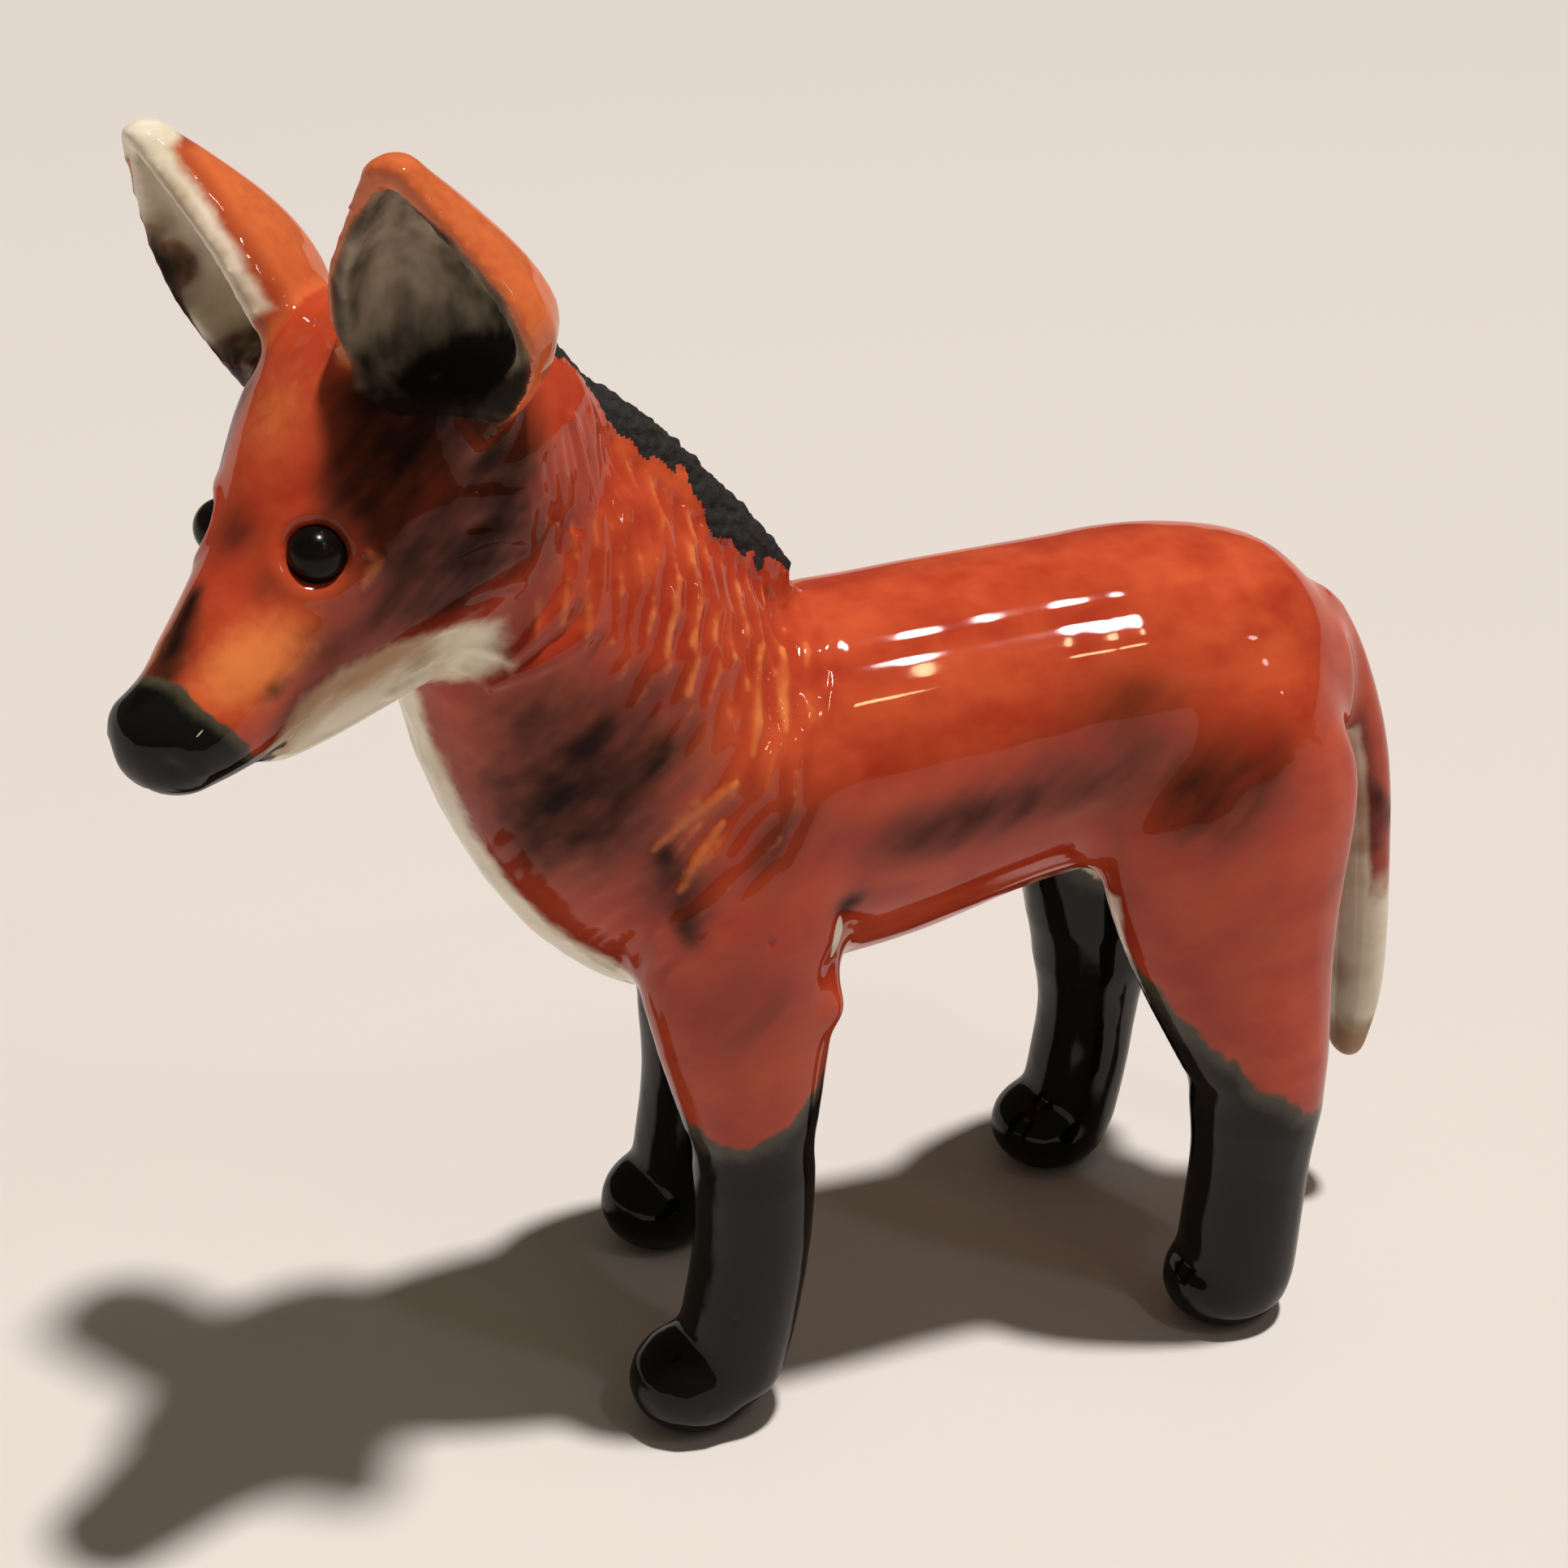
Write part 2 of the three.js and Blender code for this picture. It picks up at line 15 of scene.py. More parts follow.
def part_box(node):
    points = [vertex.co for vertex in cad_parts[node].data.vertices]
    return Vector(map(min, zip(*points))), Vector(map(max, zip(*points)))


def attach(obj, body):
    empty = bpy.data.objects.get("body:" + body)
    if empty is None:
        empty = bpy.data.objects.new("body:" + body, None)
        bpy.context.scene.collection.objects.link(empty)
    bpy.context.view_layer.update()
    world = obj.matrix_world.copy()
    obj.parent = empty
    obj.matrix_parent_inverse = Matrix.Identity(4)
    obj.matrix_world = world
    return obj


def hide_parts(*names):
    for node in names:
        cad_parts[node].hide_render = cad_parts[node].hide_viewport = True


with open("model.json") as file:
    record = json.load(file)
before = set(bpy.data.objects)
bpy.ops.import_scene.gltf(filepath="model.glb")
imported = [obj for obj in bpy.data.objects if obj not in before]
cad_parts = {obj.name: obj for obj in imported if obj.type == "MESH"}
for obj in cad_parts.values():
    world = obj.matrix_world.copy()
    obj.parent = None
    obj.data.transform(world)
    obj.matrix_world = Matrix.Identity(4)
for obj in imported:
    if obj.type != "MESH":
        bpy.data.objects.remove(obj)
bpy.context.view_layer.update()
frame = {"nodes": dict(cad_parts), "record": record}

MM = 0.001
SEED = 7

# Places taken from the frame, in metres
trunk_low, trunk_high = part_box("trunk")
JOINT = np.array([trunk_high.x, (trunk_low.y + trunk_high.y) / 2, 0.0])  # under the neck joint, mid plane

# The head's own frame: ahead along the nose, left, and up, measured from the eyes and the nose pad
EYES_AHEAD = 12.5  # mm from the head's middle
EYES_ABOVE = 3.1
NOSE_AHEAD = 26.2
NOSE_BELOW = 4.6


def middle(node):
    low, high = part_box(node)
    return np.array((low + high) / 2)


def unit(vector):
    return vector / np.linalg.norm(vector)


def head_frame():
    """The middle of the head in metres, and its directions ahead, left and up as rows."""
    left_eye, right_eye = middle("left_eye"), middle("right_eye")
    eyes = (left_eye + right_eye) / 2
    left = unit(left_eye - right_eye)
    to_nose = middle("nose") - eyes
    to_nose = unit(to_nose - left * (to_nose @ left))
    over_nose = np.cross(to_nose, left)
    fall = math.atan2(EYES_ABOVE + NOSE_BELOW, NOSE_AHEAD - EYES_AHEAD)
    ahead = to_nose * math.cos(fall) + over_nose * math.sin(fall)
    up = over_nose * math.cos(fall) - to_nose * math.sin(fall)
    return eyes - (ahead * EYES_AHEAD + up * EYES_ABOVE) * MM, np.array([ahead, left, up])


HEAD_AT, HEAD_AXES = head_frame()

# Each ear's own frame within the head's: the way the cup faces, left, and up to the tip
EAR_ROOT = np.array([1.0, 11.8, 9.2])  # the left one's
EAR_FACING = 13  # degrees outwards
EAR_BACK = 3  # degrees backwards
EAR_LEAN = {"left_ear": 5, "right_ear": 11}  # degrees outwards


def turn(axis, degrees):
    return np.array(Matrix.Rotation(math.radians(degrees), 3, axis))


def in_body(places):
    """Places in millimetres from the point under the neck joint."""
    return (places - JOINT) / MM


def in_head(places):
    """Places in millimetres in the head's frame."""
    return (places - HEAD_AT) @ HEAD_AXES.T / MM


def in_ear(vectors, ear):
    """Vectors of the head's frame along the ear's own directions."""
    side = 1 if ear == "left_ear" else -1
    axes = turn("X", -side * EAR_LEAN[ear]) @ turn("Y", -EAR_BACK) @ turn("Z", side * EAR_FACING)
    return vectors @ axes


# Helpers for objects and meshes
def only(obj):
    bpy.ops.object.select_all(action="DESELECT")
    obj.select_set(True)
    bpy.context.view_layer.objects.active = obj


def add_object(name, data):
    """A new object of the scene with this data."""
    obj = bpy.data.objects.new(name, data)
    bpy.context.scene.collection.objects.link(obj)
    return obj


def apply(obj, kind, **settings):
    """Adds one modifier with these settings and applies it."""
    only(obj)
    modifier = obj.modifiers.new(kind.lower(), kind)
    for name, value in settings.items():
        setattr(modifier, name, value)
    bpy.ops.object.modifier_apply(modifier=modifier.name)


def rows_of(things, name):
    flat = np.empty(len(things) * 3)
    things.foreach_get(name, flat)
    return flat.reshape(-1, 3)


def corners(obj):
    """The vertices of a mesh as rows of x, y, z in metres."""
    return rows_of(obj.data.vertices, "co")


def move_corners(obj, places):
    obj.data.vertices.foreach_set("co", places.ravel())
    obj.data.update()


def normals(obj):
    return rows_of(obj.data.vertex_normals, "vector")


def note(obj, name, values):
    """Keeps one number per vertex on the mesh."""
    attribute = obj.data.attributes.get(name) or obj.data.attributes.new(name, "FLOAT", "POINT")
    attribute.data.foreach_set("value", values.astype(np.float32))


def noted(obj, name):
    values = np.empty(len(obj.data.vertices), np.float32)
    obj.data.attributes[name].data.foreach_get("value", values)
    return values


# Helpers for fields, which hold one number per vertex. A factor on a field or on a facing sets how crisp
# its edge is.
MIRROR = np.array([1.0, -1.0, 1.0])


def ease(low, high, values):
    """0 at low, 1 at high, smooth between; low may be the greater."""
    t = np.clip((values - low) / (high - low), 0, 1)
    return t * t * (3 - 2 * t)


def bell(distances, width):
    """1 at no distance, falling off over this width."""
    return np.exp(-((distances / width) ** 2))


def away(places, spot, reach=1.0):
    """Distances from a spot, in reaches."""
    return np.linalg.norm((places - spot) / reach, axis=1)


def least(*fields):
    return np.minimum.reduce(fields)


def most(*fields):
    return np.maximum.reduce(fields)


def folded(places):
    """Places of both sides laid over each other on the wolf's left."""
    return places * (1, 0, 1) + np.abs(places) * (0, 1, 0)


def lumps(places, size, seed):
    """Smooth noise from -1 to 1 with lumps of about this size."""
    shift = Vector((seed, 2 * seed, 3 * seed))
    return np.array([noise.noise(Vector(p) / size + shift) for p in places])


def neighbours(skin):
    """A function that averages a value per vertex over each vertex's neighbours."""
    mesh = skin.data
    pairs = np.empty(len(mesh.edges) * 2, np.int32)
    mesh.edges.foreach_get("vertices", pairs)
    a, b = pairs.reshape(-1, 2).T
    count = np.bincount(a, minlength=len(mesh.vertices)) + np.bincount(b, minlength=len(mesh.vertices))

    def around(values):
        return (np.bincount(a, values[b], len(count)) + np.bincount(b, values[a], len(count))) / count
    return around


def soften(values, around, passes):
    for _ in range(passes):
        values = (values + around(values)) / 2
    return values


# Joined clay: every element but the eyes, swollen until the joints close, as one skin
SKIN_NODES = [name for name in sorted(frame["nodes"]) if not name.endswith("_eye")]
COLUMN = {node: column for column, node in enumerate(SKIN_NODES)}
SAME_CORNER = 0.001 * MM
SMEAR = 0.25 * MM  # swelling that closes the joints
VOXEL = 0.5 * MM
BROAD = ["nose", "trunk", "neck", "left_shoulder", "right_shoulder", "left_haunch", "right_haunch"]
EARS = ["left_ear", "right_ear"]
EVEN_OUT = 0.5  # how far a pass of smoothing moves a vertex
SPRING_BACK = -0.52  # and how far the next one moves it back where the form is kept
EVEN_PASSES = {"broad": 48, "slim": 20, "rims": 8}  # smoothing that takes the facets out
KEEPING_PASSES = 8  # smoothing that keeps the form
JOINT_REACH = 2.6 * MM  # how far from a joint the clay is smeared
JOINT_CORE = 0.3 * JOINT_REACH  # how far it is smeared fully
JOINT_PASSES = 70
EAR_HOLD = 0.5  # how much less the ears are smeared
FAR_OFF = 10 * JOINT_REACH
NO_WEIGHT = 1e-9
LEAST_WEIGHT = 0.01


def clay_copy(node):
    """A loose copy of a CAD node with its corners merged."""
    copy = add_object(node + "_clay", frame["nodes"][node].data.copy())
    only(copy)
    bpy.ops.mesh.customdata_custom_splitnormals_clear()
    bpy.ops.object.mode_set(mode="EDIT")
    bpy.ops.mesh.select_all(action="SELECT")
    bpy.ops.mesh.remove_doubles(threshold=SAME_CORNER)
    bpy.ops.object.mode_set(mode="OBJECT")
    return copy


def joined_clay():
    copies = [clay_copy(node) for node in SKIN_NODES]
    bpy.ops.object.select_all(action="DESELECT")
    for copy in copies:
        copy.select_set(True)
    bpy.context.view_layer.objects.active = copies[0]
    bpy.ops.object.join()
    skin = copies[0]
    skin.name = "skin"
    skin.data.materials.clear()
    apply(skin, "DISPLACE", strength=SMEAR, mid_level=0.0)
    apply(skin, "REMESH", mode="VOXEL", voxel_size=VOXEL, use_smooth_shade=True)
    return skin


def element_gaps(skin):
    """Each vertex's distance to each clay element, in metres, measured where the element is near."""
    places = corners(skin)
    gaps = np.full((len(places), len(SKIN_NODES)), FAR_OFF)
    for node, column in COLUMN.items():
        mesh = frame["nodes"][node].data
        tree = BVHTree.FromPolygons([v.co for v in mesh.vertices], [p.vertices[:] for p in mesh.polygons])
        low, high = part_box(node)
        above = places > np.array(low) - JOINT_REACH
        below = places < np.array(high) + JOINT_REACH
        for row in np.flatnonzero(np.all(above & below, axis=1)):
            gaps[row, column] = tree.find_nearest(Vector(places[row]))[3]
    return gaps


def smooth(skin, weights, passes):
    """Smooths the skin, more where the weight is higher."""
    group = skin.vertex_groups.new(name="part")
    for row in np.flatnonzero(weights > LEAST_WEIGHT):
        group.add([int(row)], float(weights[row]), "REPLACE")
    apply(skin, "SMOOTH", factor=EVEN_OUT, iterations=passes, vertex_group="part")
    skin.vertex_groups.clear()


def smear_joints(skin, gaps):
    """Smooths the facets everywhere and the joints until they run into each other."""
    near = bell(gaps, JOINT_REACH) + NO_WEIGHT
    near /= near.sum(axis=1)[:, None]
    broad = near[:, [COLUMN[node] for node in BROAD]].sum(axis=1)
    ears = near[:, [COLUMN[node] for node in EARS]].sum(axis=1)
    smooth(skin, broad, EVEN_PASSES["broad"])
    smooth(skin, 1 - broad - ears, EVEN_PASSES["slim"])
    smooth(skin, ears, EVEN_PASSES["rims"])
    for _ in range(KEEPING_PASSES):
        apply(skin, "SMOOTH", factor=EVEN_OUT, iterations=1)
        apply(skin, "SMOOTH", factor=SPRING_BACK, iterations=1)
    nearest = np.sort(gaps, axis=1)
    joints = 1 - ease(JOINT_CORE, JOINT_REACH, nearest[:, 1] - nearest[:, 0])
    smooth(skin, joints * (1 - EAR_HOLD * ears), JOINT_PASSES)


def smeared_clay():
    """The joined and smeared skin, and each vertex's distance to each element in millimetres."""
    skin = joined_clay()
    gaps = element_gaps(skin)
    for node, column in COLUMN.items():
        note(skin, "gap_" + node, gaps[:, column] / MM)
    smear_joints(skin, gaps)
    apply(skin, "SUBSURF", levels=1, render_levels=1, quality=1, use_limit_surface=False)
    nearness = np.stack([noted(skin, "gap_" + node) for node in SKIN_NODES], axis=1)
    for node in SKIN_NODES:
        skin.data.attributes.remove(skin.data.attributes["gap_" + node])
    return skin, nearness


def owned(owner, nodes):
    """Where a vertex belongs to one of these elements."""
    return np.isin(owner, [COLUMN[node] for node in nodes])


# Face and limbs. Paths are in millimetres, on the wolf's left, and are carved on both sides.
CHEEK_GROOVES = [
    [(3.9, 11.5, 0.8), (1.8, 12.2, 0), (-0.6, 12.2, -1.5)],
    [(5.1, 10.9, -1.4), (2.6, 11.6, -2.3), (-0.1, 11.5, -3.8)],
    [(4.9, 9.5, -5.3), (2.6, 9.9, -5.8), (0.4, 9.7, -7)],
    [(2.6, 12, 3.6), (0.2, 12.4, 2.6), (-2.2, 12, 0.6)],
    [(-2.4, 12, -2), (-4.2, 11.8, -3.6), (-5.2, 11.4, -5.6)],
]
RUFF_RIDGES = [
    [(-8.2, 11.2, 2.2), (-6.8, 11, -4.6), (-2.8, 11.2, -9.8), (0, 10, -11.4), (2.7, 8, -13)],
    [(-7.6, 11.4, -6), (-2.9, 11.9, -12.8), (0.5, 10.2, -13.8), (4.1, 6.6, -14.6)],
]
THROAT_RIDGES = [
    [(10.7, 4.8, -9.2), (7.8, 5.4, -9.6), (2.5, 8, -12.4)],
    [(11.6, 4.9, -10.5), (8.4, 5, -11.2), (4.4, 5.6, -13.4)],
]
LID_CRESCENT = [(10.4, 8.5, 2.7), (10.2, 8.9, 1.7), (11.9, 8.3, 0.5)]
MOUTH = [(25, 3.4, -8.9), (22, 4.2, -8.7), (18.9, 4.6, -9.1), (15, 5, -9.8)]
MUZZLE_MIDDLE = [(30.4, 0, -6.2), (29.4, 0, -8.4), (26.5, 0, -9.4)]
FACE_STROKES = [  # paths, half width, and height over the smooth clay
    (CHEEK_GROOVES, 1.0, -0.28),
    (RUFF_RIDGES, 1.2, 0.5),
    (THROAT_RIDGES, 0.9, 0.35),
    ([LID_CRESCENT], 0.7, 0.32),
    ([MOUTH], 0.6, -0.45),
    ([MUZZLE_MIDDLE], 0.8, -0.35),
]
FACE_BACK = -14  # the face lies ahead of this place and between these heights, head's frame
FACE_LOW, FACE_HIGH = -20, 14
FACE_SOFT = 3  # passes that soften the carving of the face
EYE_AT = np.array([EYES_AHEAD, 5.5, EYES_ABOVE])
LIDS = {"radius": 3.1, "width": 0.8, "rise": 0.3}  # the raised ring round each eye
ELBOW = (-0.8, 14.0, 41.2)
ELBOW_NOTCH = (-0.5, 14.4, 45.4)
ELBOW_REACH = 1.9
ELBOW_RISE = 0.8
NOTCH_DEEP = 0.4
FORE_SHIFT = 4.7  # how much further back the right fore leg stands
PINHOLES = [(8.2, 16.2, 13), (5, 16.1, 50), (21, 6.3, 62)]
PINHOLE_WIDE = 0.3
PINHOLE_DEEP = 0.3
GOLD_STREAKS = [  # raised strokes where the glaze runs thin
    [(6.8, 12.9, 63.1), (10.6, 13, 60.6), (13.4, 12.6, 58.3)],
    [(8.1, 13.7, 60.2), (10.2, 13.7, 57.3), (11.7, 13.7, 54.7)],
    [(2.6, 7.2, 71.6), (3.1, 8, 70.7), (5.1, 12.2, 64.9)],
    [(0.6, 6.2, 70.4), (0.9, 7.1, 69.8), (2, 10.9, 65.8)],
]
GOLD_WIDE = 0.7
GOLD_HIGH = 0.18


def stroke(places, path, half_width, taper=0.5):
    """1 along the middle of a path, 0 at its edges, less outside; the stroke narrows to its ends."""
    path = [np.array(p) for p in path]
    lengths = np.cumsum([0.0] + [np.linalg.norm(b - a) for a, b in zip(path, path[1:])])
    height = np.full(len(places), -np.inf)
    for a, b, start in zip(path, path[1:], lengths):
        run = b - a
        t = np.clip((places - a) @ run / (run @ run), 0, 1)
        off = np.linalg.norm(places - a - t[:, None] * run, axis=1)
        along = (start + t * np.linalg.norm(run)) / lengths[-1]
        width = half_width * (taper + (1 - taper) * np.sin(math.pi * along))
        height = np.maximum(height, 1 - (off / width) ** 2)
    return height


def on_both_sides(places, path, half_width):
    return np.maximum(stroke(places, path, half_width), stroke(places * MIRROR, path, half_width))


def brushed(places, path, half_width):
    """A soft brush mark on both sides, 1 along its middle."""
    return np.exp(on_both_sides(places, path, half_width) - 1)


def carved(places, path, half_width):
    """A stroke on both sides as a height from 0 to 1."""
    return np.clip(on_both_sides(places, path, half_width), 0, 1)


def limb_relief(body):
    """The knob and the notch at the back of each fore leg, and the glaze's pinholes, in millimetres."""
    left = np.where(body[:, 1:2] > 0, body, body * MIRROR + (FORE_SHIFT, 0, 0))
    relief = ELBOW_RISE * bell(away(left, ELBOW), ELBOW_REACH)
    relief -= NOTCH_DEEP * bell(away(left, ELBOW_NOTCH), ELBOW_REACH)
    for pinhole in PINHOLES:
        relief -= PINHOLE_DEEP * bell(away(body, pinhole), PINHOLE_WIDE)
    return relief


def face_relief(head):
    """Height of the carving of the face over the smooth clay, in millimetres."""
    near = np.flatnonzero((head[:, 0] > FACE_BACK) & (head[:, 2] > FACE_LOW) & (head[:, 2] < FACE_HIGH))
    spots = head[near]
    height = LIDS["rise"] * bell(away(folded(spots), EYE_AT) - LIDS["radius"], LIDS["width"])
    for paths, half_width, rise in FACE_STROKES:
        for path in paths:
            height += rise * carved(spots, path, half_width)
    relief = np.zeros(len(head))
    relief[near] = height
    return relief


# Fur: short gouges laid along the coat, set so close that only thin ridges stand between them
FUR = [  # x and z on the side; the coat's way there; a gouge's half length, half width, depth; ridge's glow
    ((17, 92), (0.00, -1.00), (4.6, 0.75, 0.24, 0.5)),
    ((17, 82), (0.10, -0.99), (5, 0.75, 0.28, 0.7)),
    ((10, 82), (0.42, -0.91), (2.6, 0.90, 0.30, 1)),
    ((5, 75), (0.50, -0.87), (2.7, 0.95, 0.34, 1)),
    ((-1, 71), (0.20, -0.98), (3.4, 0.90, 0.28, 0.9)),
    ((2, 63), (0.30, -0.95), (4.2, 1.00, 0.24, 0.8)),
    ((9, 57), (0.76, -0.65), (4.6, 1.05, 0.26, 0.8)),
    ((16, 62), (0.78, -0.62), (3.2, 1.00, 0.20, 0.1)),
    ((22, 68), (0.72, -0.69), (2.6, 1.00, 0.16, 0)),
    ((24, 57), (0.60, -0.80), (3, 1.10, 0.08, 0)),
]
FUR_REACH = 6.0  # how far each row of the table reaches
FUR_LEAST = 1e-6  # its weight further off
FUR_EDGE_HEIGHTS = [44, 48, 52, 58, 66, 76]  # the coat's rear edge on the shoulder, x by height, mm
FUR_EDGE = [17, 12, 8, 2, -3, -4.5]
FUR_EDGE_SOFT = 1.5
FUR_FOOT = (40, 47)  # heights over which the coat sets in
FURRED = ["neck", "trunk", "left_shoulder", "right_shoulder"]
CHEEK_BACK = 0.0  # the head's own coat is behind this place and below the next, head's frame
CHEEK_TOP = 2.0
FUR_ENOUGH = 0.4  # a gouge starts where the coat is at least this full
FUR_APART = (1.1, 1.5)  # from gouge to gouge, in half lengths and half widths
FUR_TRIES = 14000
FUR_UNEVEN = (0.8, 1.2)  # how a gouge's sizes vary
FUR_BEND = (0.01, 0.08)
FUR_THROUGH = 2.5  # how far off its own plane a gouge still cuts
FUR_SOFT = 6  # passes that fill the gouges with glaze


def coat_lie(body, turned):
    """The way the coat lies at each place, along the surface, and its gouges' sizes."""
    total = np.zeros((len(body), 1))
    flow, sizes = np.zeros((len(body), 3)), np.zeros((len(body), 4))
    for (x, z), (ahead, up), size in FUR:
        weight = bell(np.hypot(body[:, 0] - x, body[:, 2] - z), FUR_REACH)[:, None] + FUR_LEAST
        total += weight
        flow += weight * np.array([ahead, 0.0, up])
        sizes += weight * np.array(size)
    flow -= turned * np.sum(flow * turned, axis=1)[:, None]
    return flow / np.linalg.norm(flow, axis=1)[:, None], sizes / total


def fur_gouges(body, turned, coat):
    """Where the gouges go: spread at random over the coat, none too near another."""
    shuffle = np.random.default_rng(SEED)
    rows = shuffle.permutation(np.flatnonzero(coat > FUR_ENOUGH))[:FUR_TRIES]
    flow, sizes = coat_lie(body[rows], turned[rows])
    gouges = []
    middles = np.empty((len(rows), 3))
    for row, way, size in zip(rows, flow, sizes):
        gap = middles[:len(gouges)] - body[row]
        along = gap @ way
        across = np.sum(gap * gap, axis=1) - along ** 2
        room = (along / (FUR_APART[0] * size[0])) ** 2 + across / (FUR_APART[1] * size[1]) ** 2
        if np.any(room < 1):
            continue
        middles[len(gouges)] = body[row]
        gouges.append((row, way, size))
    return gouges


def fur_relief(body, turned, coat):
    """Depth of the gouges at each place, in millimetres, and how the ridges between them glow, 0 to 1."""
    depth = np.zeros(len(body))
    pick = np.random.default_rng(SEED + 1)
    for row, way, size in fur_gouges(body, turned, coat):
        length, width, deep = size[:3] * pick.uniform(*FUR_UNEVEN, 3)
        bend = pick.uniform(*FUR_BEND)
        near = np.flatnonzero(np.all(np.abs(body - body[row]) < length, axis=1))
        gap = body[near] - body[row]
        along = gap @ way
        across = gap @ np.cross(turned[row], way) - bend * along ** 2
        shape = 1 - (along / length) ** 2 - (across / width) ** 2
        shape = np.where(np.abs(gap @ turned[row]) < FUR_THROUGH, shape, 0)
        depth[near] = np.maximum(depth[near], deep * np.clip(shape, 0, 1))
    return depth * coat, coat_lie(body, turned)[1][:, 3] * coat


def coat_share(body, head, owner):
    """1 where the neck and chest carry fur, 0 on the smooth glaze."""
    edge = np.interp(body[:, 2], FUR_EDGE_HEIGHTS, FUR_EDGE)
    share = ease(-FUR_EDGE_SOFT, FUR_EDGE_SOFT, body[:, 0] - edge) * ease(*FUR_FOOT, body[:, 2])
    behind_cheek = owned(owner, ["head"]) & (head[:, 0] < CHEEK_BACK) & (head[:, 2] < CHEEK_TOP)
    return share * (owned(owner, FURRED) | behind_cheek)


# Mane: a crest of clods along the nape
MANE_X = [-3.0, -0.8, 2.0, 5.5, 7.2, 10.5, 12.6, 16.0, 19.0]  # along the nape
MANE_HALF = [0.2, 1.3, 2.6, 3.4, 1.7, 2.9, 2.3, 3.8, 4.2]  # its half width there
MANE_BACK, MANE_FRONT = -3.0, 18.5
MANE_LOW = 72
MANE_UP = 0.25  # it grows where the clay faces up at least this much
MANE_RAGGED = 0.9  # how far its edges wander, ahead of its thin rear end
MANE_THIN_END = 5.0
MANE_LUMP = 1.7 * MM
CLODS = {"height": 0.34, "crumb": 0.7 * MM, "heap": 0.25, "heap_size": 1.9 * MM, "base": 0.15}


def mane_field(body, turned, ragged):
    """Inside of the mane, in millimetres, above 0 in it."""
    x, y, z = body.T
    width = np.interp(x, MANE_X, MANE_HALF) + MANE_RAGGED * ragged * ease(MANE_BACK, MANE_THIN_END, x)
    up_side = 6 * (turned[:, 2] - MANE_UP)
    return least(width - np.abs(y), up_side, x - MANE_BACK, MANE_FRONT - x, z - MANE_LOW)


def mane_clods(places):
    """Height of the mane's clods, in millimetres."""
    heaps = CLODS["heap"] * np.abs(lumps(places, CLODS["heap_size"], 12))
    return CLODS["height"] * lumps(places, CLODS["crumb"], 11) + heaps + CLODS["base"]


# Carving the skin
HAND = [(0.12, 12, 1), (0.016, 6, 3), (0.01, 3, 2)]  # unevenness of the hand: height and size in mm, seed


def carve(skin, body, head, owner, around):
    """Carves the skin; the mane's field, the depth of the fur and how its ridges glow are given back."""
    places, turned = corners(skin), normals(skin)
    mane = mane_field(body, turned, lumps(places, MANE_LUMP, 5))
    coat = coat_share(body, head, owner) * (1 - ease(-0.6, 0.2, mane))
    gouges, glow = fur_relief(body, turned, coat)
    fur = soften(gouges, around, FUR_SOFT)
    strokes = soften(face_relief(head), around, FACE_SOFT)
    for path in GOLD_STREAKS:
        strokes += GOLD_HIGH * carved(body, path, GOLD_WIDE)
    hand = sum(height * lumps(places, size * MM, seed) for height, size, seed in HAND)
    on_mane = ease(-0.4, 0.5, mane)
    height = hand - fur + strokes * (1 - on_mane) + limb_relief(body) + mane_clods(places) * on_mane
    places = places + turned * height[:, None] * MM
    places[:, 2] = np.maximum(places[:, 2], 0)
    move_corners(skin, places)
    return mane, fur, glow


# Cream and black glaze. Each field is in millimetres, above 0 inside the colour, and kept within LIMIT.
LIMIT = 4.0
CHEST_Z = [34, 45, 49, 54, 62, 68, 74, 80]
CHEST_HALF = [11.5, 9.0, 7.2, 5.8, 5.4, 4.8, 4.8, 6.0]  # half width of the cream at these heights
CHEST_LOW, CHEST_HIGH = 30, 82
CHEST_FACING = unit(np.array([1.0, 0.0, -0.35]))
BELLY_FRONT = 2.0  # the cream stops between these two places
BELLY_BACK = -21.0
JAW_X = [2.0, 6.0, 10.1, 15.3, 19.1, 21.5, 23.5]  # the cream edge along the muzzle, head's frame
JAW_Z = [-10.0, -7.4, -5.8, -4.8, -5.3, -7.2, -9.0]
JAW_BACK = 2.4
JAW_LOW = -13.6
JAW_SOFT = 0.5  # how slowly the cream runs into the cheek
BEHIND_JAW = -6.0
ARMPIT = [(-1.3, 13.9, 50), (-1.2, 14.1, 48.4), (-0.9, 14.4, 46.6)]
ARMPIT_HALF = 0.7
THIGH_LINE = 12.6  # the thin cream line ahead of each thigh: out from the mid plane, half width, heights
THIGH_LINE_HALF = 0.6
THIGH_LOW, THIGH_HIGH = 32, 46
THIGHS_AHEAD = -20
TAIL_PALE = 35  # the tail is cream below this height, and its edges are below the next
TAIL_EDGES_PALE = 56
NOSE_Z = [-9.5, -8.5, -7.0, -4.0, -2.0, 0.0]  # the black edge round the nose, head's frame
NOSE_X = [21.8, 22.4, 24.1, 24.9, 26.0, 25.6]
NOSE_SPREAD = 1.2
LIP_HALF = 0.7
LIP_BACK = 20.5
FORE_X = [0.3, 3.1, 7.3, 10.2, 13.0]  # the black edge round a left leg
FORE_Z = [35.5, 32.7, 31.0, 31.6, 34.0]
HIND_X = [-46.0, -43.9, -38.5, -34.5, -31.6, -28.0]
HIND_Z = [22.8, 23.8, 27.3, 31.6, 34.5, 39.5]
HIND_SHIFT = -5.9  # how much further back the right hind leg stands
BETWEEN_LEGS = -16  # fore legs are ahead of this place, hind legs behind it
THIGH_FRONT = -25.5  # the black stops behind this place under the belly
FORE_BACK = -1.5  # and ahead of this one
TAIL_FRONT = -50
LEG_MIDDLE = 12.4
INNER_RISE = 8.0  # the black goes this much higher inside the legs
